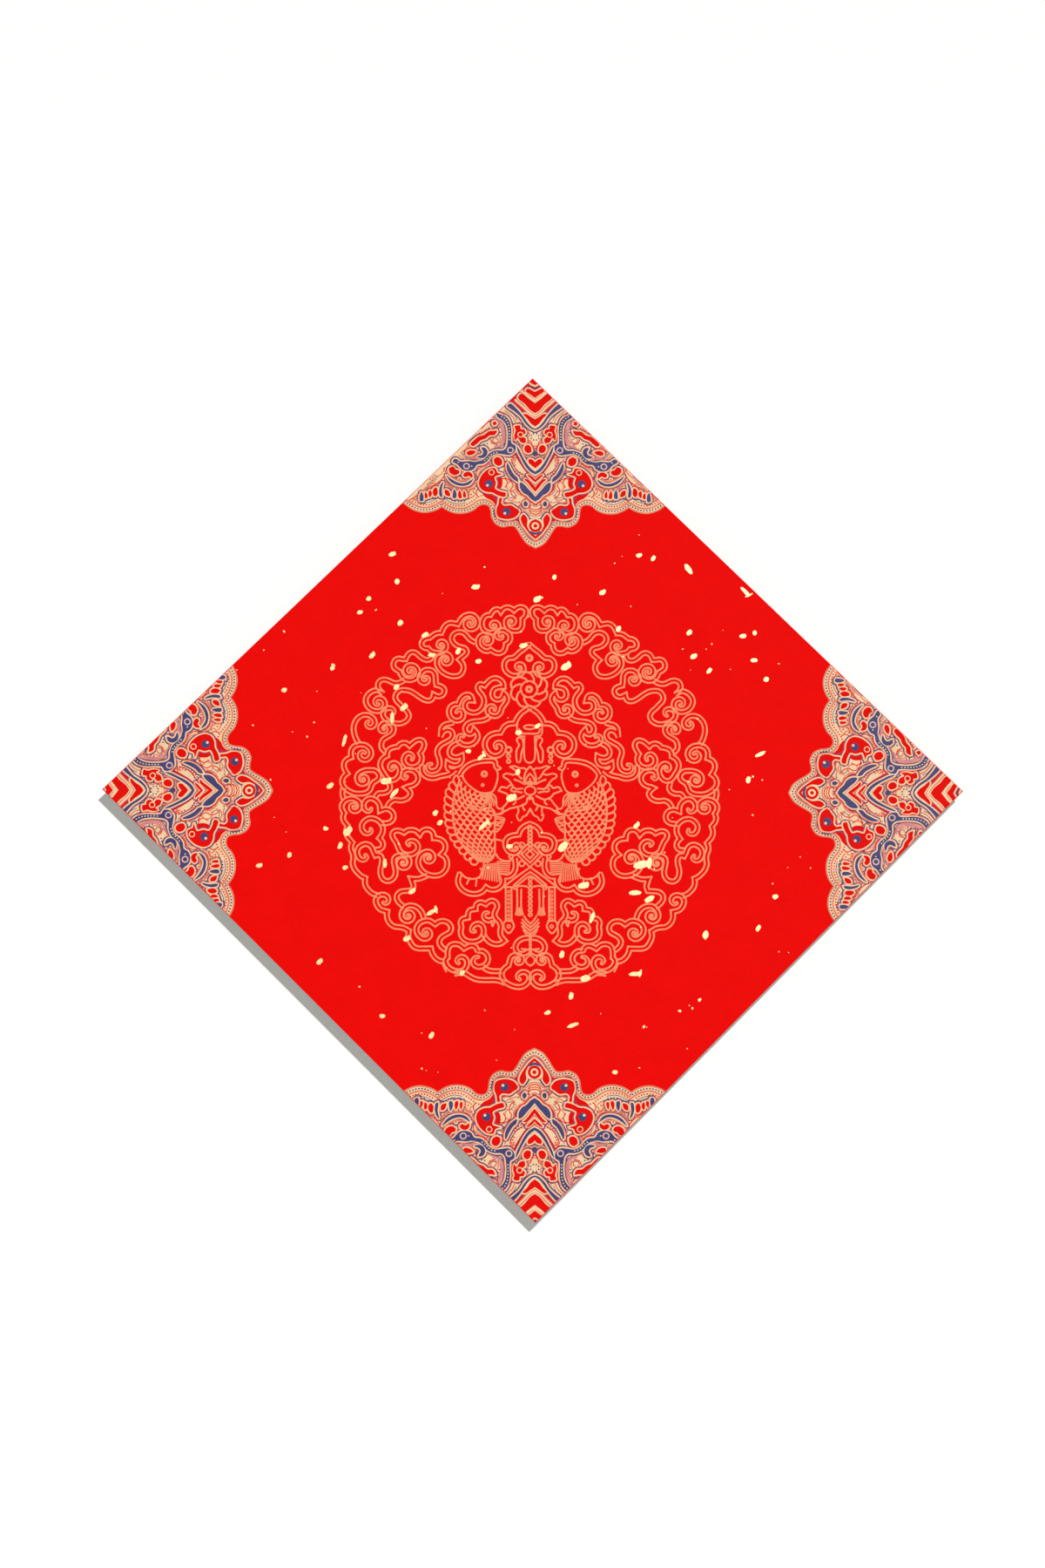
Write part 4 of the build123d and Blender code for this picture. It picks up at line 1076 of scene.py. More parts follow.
def fan(root, ends, count):
    """Rays from one short line to another, such as those of a fin."""
    roots, tips = ([np.array(line[0]) + (np.array(line[1]) - line[0]) * k / (count - 1) for k in range(count)]
                   for line in (root, ends))
    return [np.linspace(a, b, 5) for a, b in zip(roots, tips)]


ROSETTE = (-2.6, 57.9)

medallion_piece("cloud_ring", [
    drawn(mirrored(twin(CLOUD_RING)), SALMON),
    drawn(mirrored(single(RING_TAILS)), SALMON),
], "cloud_ring_print")

medallion_piece("inner_clouds", [drawn(mirrored(twin(INNER_CLOUDS)), SALMON)], "inner_clouds_print")

medallion_piece("cloud_head_and_rosette", [
    drawn(mirrored(twin(CLOUD_HEAD)), SALMON),
    drawn([scalloped_ring(*ROSETTE, 9.4, 8, 1.3)] + rosette_petals(*ROSETTE), SALMON, width=1.25),
    drawn(round_trip([circle(*ROSETTE, 4.7, 26)]), SALMON),
    beads([ROSETTE], SALMON, 2.3, 0.6),
    beads([(-2.4, 75.9)], SALMON, 2.4, 0.6),
], "rosette_print")

medallion_piece("chime", [
    drawn(mirrored(twin(CHIME_HEAD)), SALMON),
    drawn(mirrored(single(CHIME_LINES)), SALMON),
    drawn(round_trip([oval(MEDALLION_AXIS, 36.1, 3.2, 1.2)]), SALMON),
    beads(on_both_sides([(-14.2, 23)]), SALMON, 2.3, 1.0),
    beads(on_both_sides([(-14.2, 19.5), (-14.2, 16.5)]), SALMON, 1.5, 0.5),
], "chime_print")

medallion_piece("lotus", [
    drawn(mirrored(single(LOTUS_LINES), -2.2), SALMON),
    drawn(round_trip([oval(-2.2, -0.2, 3.0, 2.5)]), SALMON),
    filled([oval(-2.2, 4.0, 2.3, 1.3)], SALMON),
    filled([oval(-2.2, -4.4, 1.5, 1.1)], SALMON),
], "lotus_print")

carp("left_carp", "left_carp_print", mirror=False)
carp("right_carp", "right_carp_print", mirror=True)

medallion_piece("knot_and_tassels", [
    drawn(mirrored(twin(RIBBON_HEAD)), SALMON),
    drawn(mirrored(single(TASSEL_LINES), -2.3), SALMON),
    drawn(endless_knot(), SALMON, width=1.0),
    beads([(-2.3, z) for z in (-22, -24.2, -26.4, -28.6, -30.9, -33.1)], SALMON, 1.6, 0.5),
    beads([(-2.3, -50.4 - 2.5 * k) for k in range(9)], SALMON, 1.4, 0.45),
    beads(on_both_sides([(-14.3, -57.4 - 2.2 * k) for k in range(8)]), SALMON, 0.95, 0.3),
    beads(on_both_sides([(-10.6, -55), (-12.9, -37.6)]), SALMON, 1.6, 0.55),
    beads(on_both_sides([(-14.3, -77)]), SALMON, 1.3, 0.4),
], "knot_and_tassels_print")

medallion_piece("base_cloud", [
    drawn(mirrored(twin(BASE_CLOUD)), SALMON),
    drawn(mirrored(single(BASE_LINES)), SALMON),
    beads([(MEDALLION_AXIS, -84 - 1.7 * k) for k in range(6)], SALMON, 0.95, 0.25),
], "base_cloud_print")


# ---------------------------------------------------------------------------------------------------------
# The corner brocade, drawn for the top corner. Its right half is mirrored about the axis, and the whole is
# turned a quarter at a time for the other corners and trimmed at the sheet's edges.
# ---------------------------------------------------------------------------------------------------------

BROCADE_AXIS = 1.3

BORDER = """
1.3,140 6,142.6 9,146.6 11,150 13.4,152.8 16.6,152.9 20,152.4 24,154.4 26,158 26.4,161.4 27.6,164.6
  30.4,165.6 33.4,164.8 36.4,162.3 40.4,160.6 46,160.3 50.4,161.6 54.5,164.2^ 57,162.5 61,161 66,160.8
  71,162.5 76,166 84,172;
"""

INNER_BORDER = """
1.3,143.6 4.6,145.2 7.4,148.8 9.6,152.2 12.2,155 16.4,155.3 19.8,154.8 22.8,156.6 23.8,160.2 24.4,163.9
  26.6,166.8 30.2,168.2 34.2,167.4 37.6,164.9 41,163.3 46,163 50,164.2 54.5,167.2^ 58,165 62,163.6 66,163.6
  70.6,165.4
  76,169 84,175;
"""

NAVY_SHAPES = """
1.3,167.2 3.6,168.6 5.8,171 8.2,172.4 10,175.4 9.8,178.6 7.6,177.4 5.2,174.6 3.2,172.4 1.3,170 z;
11,178.8 13.6,180.4 16.2,183.4 17.6,187.2 17.2,190 15.4,186.6 13.4,183.2 11.2,181 z;
1.3,183.3 4.3,185 7,188.3 9.3,192.8 11.1,196.6 11.7,200 10.6,198.4 8.7,194.4 6.2,190 3.7,186.8 1.3,184.9 z;
1.3,209.6 3.6,210.4 6.6,213.2 9.5,217.4 13,220.6 17.2,224 15.4,225.3 11.7,222.2 8.6,218.4 5.6,214
  3.2,211.4 1.3,210.4 z;
23.4,219.4 20.4,218.6 17.4,217 15.4,213.4 14.8,209.4 15,205 14.6,201.6 12.6,200.4 12.6,197.2 15.4,194.8
  19,195 23,195.4 26.4,193.8 28.6,191 31,189.4 34.4,188.8 36,186.4 39,185.2 42.6,185.8 45.4,188.8 48.4,190.8
  46.6,192.4 44,190.8 41.6,190.8 38.6,191 35.6,190.6 32,191.4 29.4,193.2 27,196 23.4,197.4 19.4,197.6
  17.6,199.6 17,203 16.9,208 17.6,212 19.6,215.2 22.8,217.4 z;
31.8,199.2 29.6,198.8 28.4,196.6 29.2,194 32,192.8 34.4,193.6 31.6,194.8 30.8,196.4 31.6,198 z;
36.6,180.4 38.4,177.6 42,176.3 46,176.8 49.4,178.8 52,182.6 48.8,180.2 45.4,178.4 41.8,177.8 39,179 z;
46.4,169.2 48,169 48.2,171.6 47.4,174.4 46.2,172.4 z;
54.2,169.8 55.4,170 56,173.4 54.8,177.4 53.6,178.6 54.4,174.4 z;
65.2,167.2 66.8,167.4 67,170 66,172.6 64.8,170.4 z;
-3,149.9 -1.2,148.4 1.3,147.8 3.8,148.4 5.6,149.9 3.6,149.6 1.3,148.9 -1,149.6 z;
6.2,164.4 7.6,164.6 8,166.2 7,167.6 5.6,166.2 z;
"""

RED_SHAPES = """
1.3,173 3.4,175.4 5.6,178.4 7.6,180.4 6.2,180.6 3.6,178.6 1.3,175.6 z;
1.3,178.6 3.6,180.6 5.8,183 4.4,183 2.6,181.6 1.3,180.2 z;
1.3,186.9 3.2,188.4 5.2,190.6 4.8,192.4 2.8,192 1.3,190.6 z;
3.4,196.8 5.2,195.8 7.2,197.2 7.4,199.4 5.8,200.8 4,200 z;
6.6,204.4 7,201.8 9.6,202.4 11.2,205 12.6,203.4 13.2,206.4 12.4,209.4 13,211.8 9.8,212.2 9.4,210.2
  7.6,210 6.6,207.8 8.4,206 z;
1.3,211.7 3.6,213.4 5.6,216.2 8,219 6.2,219.2 3.8,217.6 1.3,216 z;
1.3,219.6 4,221.4 7,225 11,228.8 8.8,231.4 5.2,228.6 1.3,225.6 z;
1.3,228.6 3.8,230.6 6.6,232.8 5.4,234.4 3.2,233.4 1.3,232.4 z;
23,209.2 24.2,206.6 27.2,206.2 29.4,204.4 32.4,203.2 34.2,201.4 36.8,199.8 38.2,201 36,203.6 33.6,205.6
  30.4,206.6 27.6,208.8 25,209 z;
35,196.6 37,194.8 39.8,194.6 40.4,196 38.2,197.4 z;
23.2,213.2 24.8,212.2 25.6,213.8 24,214.8 z;
20.2,189.2 22.2,188.2 24.4,189.6 24.8,192.2 22.6,193.6 20.4,192 z;
20.2,183.4 22.6,184.2 24,186.8 27.4,186.6 30.4,184.4 32.6,181.2 33.4,177.4 32,174.4 29,172.8 25.6,172.4
  22.6,170.8 18.6,170 18,172.2 21.2,173.2 24.2,175 23.6,178 24.4,181.6 22.6,182.6 z;
21.6,169.4 22.2,166 23.4,162.6 22.6,158.4 19.4,157 15.4,157 12.2,158.4 10.4,161.6 12.8,163.6 15,165 19,164.8
  20.6,166.4 20.2,169 z;
1.3,147 4.2,149.6 6,153 5.8,157.2 8,159.8 9.6,157.8 9,154.6 6.6,150.8 4.2,147.6 1.3,145.2 z;
37.2,181 39.2,182.2 41,181.4 42.4,182.6 41,184.4 38.6,184.6 37,183 z;
44.6,183.8 47,182.6 49.8,184 50.4,186.6 48,187.8 46.4,186 44.8,185.6 z;
40.8,169.6 42,169.4 42.4,171.4 41.8,173.6 40.8,171.8 z;
43.2,169 44.6,169 45.2,171.4 44.4,173.8 43.2,171.4 z;
49.6,170.2 52.4,171 52.6,174 50.6,173.4 z;
56.8,171.4 58.4,170 59.6,172 59,174.6 57.4,175.4 z;
60.2,170.6 61.4,169.4 62,171.6 61.4,173.8 60.2,172.8 z;
62.6,169.2 63.8,168.8 64.2,171 63.8,172.6 62.6,171.2 z;
"""

# Wide bright areas over the cream ground.
RED_FIELDS = """
1.3,144.3 4.2,145.8 7,149.4 9.2,152.8 12,155.8 16.4,156.1 19.6,155.6 22,157.4 23,160.6 23.6,164.2 26,167.6
  29,169.2 31.6,172 32.4,175.6 31.4,181 28.2,184.8 25,186.2 20.6,182 20,177 22,172.6 19.6,167.6 15,165.8
  11,163.4 8.6,160.4 7.4,157 6,153.4 3.6,150.2 1.3,148.6 z;
1.3,211.6 4.2,213.6 8.4,219 12.6,223.2 17,226 9,234 1.3,242 z;
"""

CREAM_LINES = """
1.3,217.9 4.4,219.7 8,223.3 12.4,227.4;
1.3,226.9 4.2,229 7.6,231.9 10,233.6;
1.3,235.8 3.4,236.8 5.2,238.4;
"""

CORAL_LINES = """
1.3,164.3 3.6,165.4 5.6,168.2 8,170.4 11,172 12.8,175.6 12.4,178;
1.3,161.2 3.4,161.6 5,163 8.4,162.4 9.8,164.4 9.2,167 7.2,168.4;
1.3,158.6 3.8,159.2 5.6,161.2 7.8,161.6;
11.8,171 13.2,168.6 15.8,168 17.4,170.2 16.8,173;
11.4,166.6 13.4,167.2 16.6,166.6 19,167.2;
13.4,173.8 15.4,173.4 17.2,174.8 17.4,177.4 15.8,179;
1.3,217 4.6,219 8.4,222.8 12.8,226.8;
1.3,218.8 4,220.6 7.6,224.2 11.8,228.2;
1.3,226 4.4,228.2 8,231.2 10.8,233;
1.3,227.9 4,230 7.2,232.8 9.2,234.6;
1.3,193.6 3.2,194.6 4.4,193.2 6.4,194 8,196.4 9.4,199.8 9.4,202;
1.3,199.8 3,200.8 4.8,202.2 5.4,204.8 4.4,207 5.6,209.4;
12.4,213.8 13.4,216.6 15.8,219 18.2,220.8;
14.6,190.4 13.4,193.4 11.6,192.6;
17.6,192.2 16.4,189.8 18.4,187.6 19.4,185;
18.6,193.6 21.6,194.9 25.4,194.2 27.2,191.6 26.4,188.6;
24.8,219 21.4,216 19.5,212.4 18.6,208 18.7,203.4 20.2,200.4 24.2,199 28,197.4;
26,217.8 22.8,214.6 21,211.4 20,207.6 20.2,204 21.4,201.4;
28.4,197.2 27.8,194.2 29.8,192.2 33,191.9 37,192.5 41.4,192.2 44.6,194.4;
34.6,198.6 33.8,195.4 36,193.6 39.4,193.5 42.8,195.6;
21.8,206.6 21.2,204 22.4,201.6 24.6,201.6 25.6,203.6 24.2,205 23,204.2;
35,203.4 37.8,201.6 40.2,199.2;
39.6,200.4 38.6,198.4 40.8,197.6;
24.6,211.6 27.4,209.6 30.8,207.6 33.4,206.2;
37.6,174.2 41.4,172.9 45.4,173.4 49.8,175.2 53.2,178.6;
35.6,178 37.4,175.8 41.6,174.6 45.8,174.9 50.4,176.8 53,180.8;
38.6,186 41.6,186.2 44,187.6 46.4,189.4;
39,180.4 42.4,179.4 46.2,180 49.6,182.2 51.8,185;
34.4,171 36.6,173 35.4,176.4 34.6,179.4;
33.6,182.6 32,186.2 28.6,188.6;
36,170.6 38.4,169.2 39.6,171 38.6,173;
56.2,176.8 59.4,177.8 62.6,175.8;
57.6,180.4 61.6,176.8 66,172.8 70.6,168.6;
55.4,179.2 58.6,176.8 63.2,174.6 67.4,170.6;
52.6,187 54.4,183.6 57,181.4;
67.6,166.2 69.2,168.6 71.4,166.6;
"""

RED_LINES = """
1.3,165.7 3.8,166.8 6.2,169.6 8.8,171.4 11.6,174.4 12.4,178.2;
1.3,162.4 3.4,162.9 5.2,165 7.4,167.8;
1.3,176.1 4.2,179 7.4,182.4 11,184.8 13.6,188.4 14.8,192;
1.3,181.1 4.2,182.7 7.4,186.3 10.4,191 12.8,195.4;
12.9,179.6 16,182.4 18.2,186.4 18.7,190.6;
12.5,169 14.6,171.2 15.2,174.2 13.9,176.8 15.4,179.4 18.4,181.2;
18.3,175.8 17.1,178.4 18.7,180.8 20.9,180.4;
9.7,160 11.2,163 9.7,165.4 7.9,164.3;
1.3,159.7 3.5,160.4 4.7,162;
28.7,188.9 32.3,187.3 34.8,184.3 34.5,181.1;
33.3,175.6 34.9,172.6 34.1,170.3;
26.5,187.9 28.5,190.1;
12.6,191.4 13.8,194.6 13.2,196.4;
13.1,203 14,206.4 13.8,210.6 15.1,214 17.5,216.8 20.4,220.2;
8.9,206.8 9.7,205.2;
1.3,198.6 2.9,199.6 3.4,202.2 5,203.6;
36.4,175.2 39,173.9;
53.4,181.6 56,178.6 60.4,175.9;
59,184.4 62.6,180.6 66.8,176.8;
52.2,184.4 53.4,186.6;
67.6,171.6 70.4,169.2 72.6,167.8;
26,215.6 28.6,213.8 31.6,210.6;
23.2,200.8 25.8,201.8 26.7,203.9;
36.8,198.9 39.9,198.6 42.6,196.6;
"""

NAVY_LINES = """
1.3,176.7 3.8,178.9 6.8,182 10,184.2 13,187.4 14.6,191;
1.3,181.8 4,183.4 7,186.6 10,191.4 12.6,196;
1.3,156.8 4.4,157.6 6.4,159.8;
20.4,216 18.9,212.6 18,208 18.1,203.6 19.4,200.6 23.6,198.3 27.4,196.8;
22.4,204.2 22.6,202.2 24.4,202 25.6,203.2;
29.4,191.6 33.6,191.1 38.4,191.8 41.8,193.6 43.6,196;
41,166.2 45.6,165.6 50,167 53.8,169.8;
57.6,168.6 61.6,166.6 66,166.4 69.4,167.8;
57,182.4 59.4,180 62.8,177;
48.4,188.6 46.4,187.2;
14.2,173.2 12.6,171.6 13.6,169.4 16,169.6;
15.6,220.6 12.8,218.2 11.6,215.6;
-0.4,235.6 1.3,234.6 3.6,235.2 5.4,236.8;
"""

# Rows of small dots: through the rope border, along the fans and between the pointed bands.
BORDER_DOT_ROWS = """
1.3,141.8 5.4,144 8.4,148 10.4,151.6 13,154 16.6,154.1 20,153.6 23.4,155.4 24.9,159 25.4,162.6
  27.2,165.5 30,166.9 33.6,166 36.8,163.6 40.6,162 46,161.7 50.4,162.9 54.5,165.7^ 57.4,163.9 61.4,162.3
  66,162.2 71,164 76,167.6;
"""
RED_DOT_ROWS = """
29.6,171 33,170.2 37,167.4 41,165 46,164.5 50.4,165.8 54.5,168.6;
56.6,167.6 61,165.3 66,165.2 70,166.6;
37,171.6 39.6,170.6;
36.4,177 39.6,175.2 43.6,174.3 48,175.4 51.6,177.6;
38,175.8 42,173.9 46.4,174.5 50.8,176.4;
55.6,178.6 58.8,176.2 62.4,174.4;
58,183 61,180.2;
42.6,185.2 44.6,186.4;
40.4,180.6 44.2,180.4 48.4,182;
3.6,177.2 6.6,180.4 9.8,182.6 13,185.6;
3.4,183.4 6.6,186.4 9.4,191 12,196;
21,210.6 22.6,212.8;
26.8,211.2 30.4,209 34,207;
36.4,198.2 37.8,199;
3.8,166.4 6,169.4 9.6,171;
9.8,214.6 11.4,212.8;
12.4,188 14.6,193.4;
"""
NAVY_DOT_ROWS = """
1.3,177.6 4.4,180 8,183.2 11.6,185.4 14.4,190;
1.3,194.4 1.3,197;
1.3,203.4 3.4,204.4 3.2,206.8 1.3,207.8;
36,173.8 34.8,177.6;
40.8,167.6 45.6,167 49.6,168.4 53,170.8;
57.4,170 61.4,168 66,167.8;
40,183.2 43.8,182 47.8,183.4;
20.4,205.6 21.2,208.8;
27.8,201.6 30.6,201;
24.4,168 23.4,171;
8.6,165 11,167.6;
17.6,162 18.6,159.6;
"""
BAND_DOT_ROWS = """
21,218 18,215.8 16.3,212 15.9,207 16,202.4;
22.4,196.4 25.6,195.4 28.4,192.6 31.4,190.5;
37.2,188.8 37.6,187;
44.4,189.9 46.4,191;
"""
MAUVE_LINES = """
25.4,218.4 22.1,215.3 20.3,211.8 19.3,207.8 19.4,203.8 20.8,200.9 24.2,199.8;
28.6,195.4 30.2,193 34,192.7 38,193 41.6,194.4;
"""
RINGS = [(15.4, 197.6), (40.4, 188)]
SEEDS = [(17.7, 161.2), (27.6, 177.6)]
EYES = [(26.2, 184.4), (9.6, 206.8)]
TARGET = (BROCADE_AXIS, 153)

# Widths of the corner lines: the shade, echo and halo lie round every motif, and the rest are drawn alone.
SHADE_WIDTH = 3.7
ECHO_WIDTH = 2.7
HALO_WIDTH = 1.7
BROAD_LINE = 1.2
FINE_LINE = 0.8
HAIR_LINE = 0.5

# Spacing of the dots along their rows.
DOT_GAP = 1.7
RED_DOT_GAP = 1.6

# Levels of the corner inks above the paper: every print reaches higher than the one it lies on. Prints of two
# colours at one level are this far apart.
APART = 0.004
GROUND_TOP = 0.080
FIELD_TOP = 0.092
SHADE_BASE = 0.084
SHADE_RISE = 0.020
ECHO_BASE = 0.085
ECHO_RISE = 0.030
LINE_RISE = 0.042
HALO_BASE = 0.095
HALO_RISE = 0.036
EYE_RISE = 0.075
DOT_TOP = 0.108
MOTIF_TOP = 0.136
RED_LINE_TOP = MOTIF_TOP + 0.006
NAVY_TOP = 0.148
RING_TOP = NAVY_TOP + 0.03


def quarter_turned(lines, turns):
    """Turns a drawing a quarter anticlockwise about the sheet's middle, as often as asked."""
    c, s = ((1, 0), (0, 1), (-1, 0), (0, -1))[turns % 4]
    return [line @ np.array([(c, s), (-s, c)], float) for line in lines]


def spaced(line, gap):
    """Places along a line, this far apart."""
    place = travel(line)
    wanted = np.arange(gap / 2, place[-1], gap)
    return np.stack([np.interp(wanted, place, line[:, 0]), np.interp(wanted, place, line[:, 1])], axis=1)


def dotted(text, gap):
    """Evenly spaced places along strokes."""
    return [tuple(place) for run in single(text) for place in spaced(run, gap)]


def halves(shapes):
    """A half-drawn corner motif and its mirror image."""
    return shapes + [shape[::-1] for shape in flipped(shapes, BROCADE_AXIS)]


def on_axis(point):
    """Whether a corner point lies on the corner's axis."""
    return abs(point[0] - BROCADE_AXIS) < 0.01


def joined(lines):
    """Corner lines on both sides of the axis, in one piece where they start on it."""
    made = []
    for line in lines:
        other = flipped([line], BROCADE_AXIS)[0][::-1]
        if on_axis(line[0]):
            made.append(np.vstack([other[:-1], line]))
        else:
            made += [line, other]
    return made


def whole_across(text):
    """Corner outlines on both sides; one that starts and ends on the axis becomes one shape across it."""
    made = []
    for points, _, _, _ in read_strokes(text):
        half = points[0][:-1]
        if on_axis(half[0]) and on_axis(half[-1]):
            half = smooth(half)
            made.append(np.vstack([half, flipped([half], BROCADE_AXIS)[0][-2:0:-1]]))
        else:
            made += halves([smooth(points[0], ring=True)[:-1]])
    return made


def corner_dots(places, radius, sides=12):
    """Round dots on both sides of the axis."""
    return [circle(x, z, radius, sides) for x, z in on_both_sides(places, BROCADE_AXIS)]


def brocade(where, turns, along, across):
    """One corner, moved along and across its diagonal. Each ink is a piece, from the ground upwards."""
    def placed(shapes):
        return quarter_turned([shape + (across, along) for shape in shapes], turns)

    runs = [smooth(run) for run in read_strokes(BORDER)[0][0]]
    edge = np.vstack([run[:-1] for run in runs])
    # The ground runs on past the sheet and is cut back to its edges.
    far = np.array([(140, 200), (140, 300), (BROCADE_AXIS, 300)], float)
    right = np.vstack([edge, far])
    left = flipped([right], BROCADE_AXIS)[0][::-1]
    ground = np.vstack([right[:-1], left[1:]])
    inner_lines = [smooth(run) for run in read_strokes(INNER_BORDER)[0][0]]
    cut = HALF_DIAGONAL - TRIM * math.sqrt(2)
    motifs = whole_across(NAVY_SHAPES) + whole_across(RED_SHAPES)
    seeds = corner_dots(SEEDS, 2.3, 18)

    printed_piece(f"{where}_corner_ground", [filled(placed([ground]), CREAM, ink=GROUND_TOP)], CREAM,
                  [f"{where}_corner_gold_print"], cut_at=cut)

    coral = [
        drawn(placed(round_trip(motifs)), CORAL, width=ECHO_WIDTH, ink=ECHO_RISE),
        drawn(placed(joined(runs)), CORAL, width=0.9, ink=LINE_RISE),
        drawn(placed(joined(inner_lines)), CORAL, width=1.1, ink=LINE_RISE),
        drawn(placed(joined(single(CORAL_LINES))), CORAL, width=FINE_LINE, ink=LINE_RISE),
    ]
    printed_piece(f"{where}_corner_coral_lines", coral, CORAL,
                  cut_at=cut, base=ECHO_BASE)

    cream = [
        drawn(placed(round_trip(motifs + seeds)), CREAM, width=HALO_WIDTH, ink=HALO_RISE),
        drawn(placed(joined(single(CREAM_LINES))), CREAM, width=BROAD_LINE, ink=HALO_RISE),
        drawn(placed(round_trip(corner_dots(EYES + RINGS, 1.5, 18))), CREAM, width=0.7, ink=EYE_RISE),
        drawn(placed(round_trip([circle(*TARGET, 4.2, 30)])), CREAM, width=BROAD_LINE, ink=HALO_RISE),
        filled(placed(corner_dots(dotted(BAND_DOT_ROWS, DOT_GAP), 0.42, 8)), CREAM, ink=EYE_RISE),
        filled(placed(corner_dots([(x + 0.9, z - 0.9) for x, z in SEEDS], 0.8)), CREAM, ink=EYE_RISE),
    ]
    printed_piece(f"{where}_corner_cream_lines", cream, CREAM,
                  cut_at=cut, base=HALO_BASE)

    target = [circle(*TARGET, 3.6, 30), circle(*TARGET, 2.2, 24)]
    red = [
        filled(placed(whole_across(RED_FIELDS)), RED, ink=FIELD_TOP),
        filled(placed(whole_across(RED_SHAPES)), RED, ink=MOTIF_TOP),
        filled([placed(target)], RED, ink=MOTIF_TOP),
        filled(placed([circle(*TARGET, 1.1)]), RED, ink=MOTIF_TOP),
        filled(placed(corner_dots(EYES, 0.8)), RED, ink=DOT_TOP),
        drawn(placed(joined(single(RED_LINES))), RED, width=FINE_LINE, ink=RED_LINE_TOP),
        filled(placed(corner_dots(dotted(RED_DOT_ROWS, RED_DOT_GAP), 0.48, 8)), RED, ink=DOT_TOP),
    ]
    printed_piece(f"{where}_corner_red_overprint", red, RED, cut_at=cut)

    navy = [
        filled(placed(whole_across(NAVY_SHAPES)), NAVY, ink=NAVY_TOP),
        drawn(placed(round_trip(motifs)), NAVY, width=SHADE_WIDTH, ink=SHADE_RISE, lift=SHADE_BASE),
        filled(placed(seeds), NAVY, ink=NAVY_TOP + APART),
        filled(placed([circle(BROCADE_AXIS, 195.6, 1.5)]), NAVY, ink=NAVY_TOP),
        filled(placed(corner_dots(dotted(NAVY_DOT_ROWS, DOT_GAP), 0.45, 8)), NAVY, ink=DOT_TOP + APART),
        filled(placed(corner_dots(dotted(BORDER_DOT_ROWS, DOT_GAP), 0.5, 8)), NAVY, ink=DOT_TOP - APART),
        drawn(placed(joined(single(NAVY_LINES))), NAVY, width=HAIR_LINE, ink=NAVY_TOP),
    ]
    printed_piece(f"{where}_corner_navy", navy, NAVY,
                  [f"{where}_corner_navy_print"], cut_at=cut)

    mauve = [
        drawn(placed(round_trip(corner_dots(RINGS, 1.9, 18))), MAUVE, width=0.9, ink=RING_TOP),
        drawn(placed(joined(single(MAUVE_LINES))), MAUVE, width=1.0, ink=MOTIF_TOP),
    ]
    printed_piece(f"{where}_corner_mauve_rings", mauve, MAUVE, cut_at=cut)


brocade("top", 0, 0.0, 0.0)
brocade("left", 1, 5.8, -1.8)
brocade("bottom", 2, 5.0, -1.0)
brocade("right", 3, 2.6, -0.2)


# ---------------------------------------------------------------------------------------------------------
# Gold-leaf flecks: (x, z, half length, half width, degrees of turn), then a dusting of small ones.
# ---------------------------------------------------------------------------------------------------------

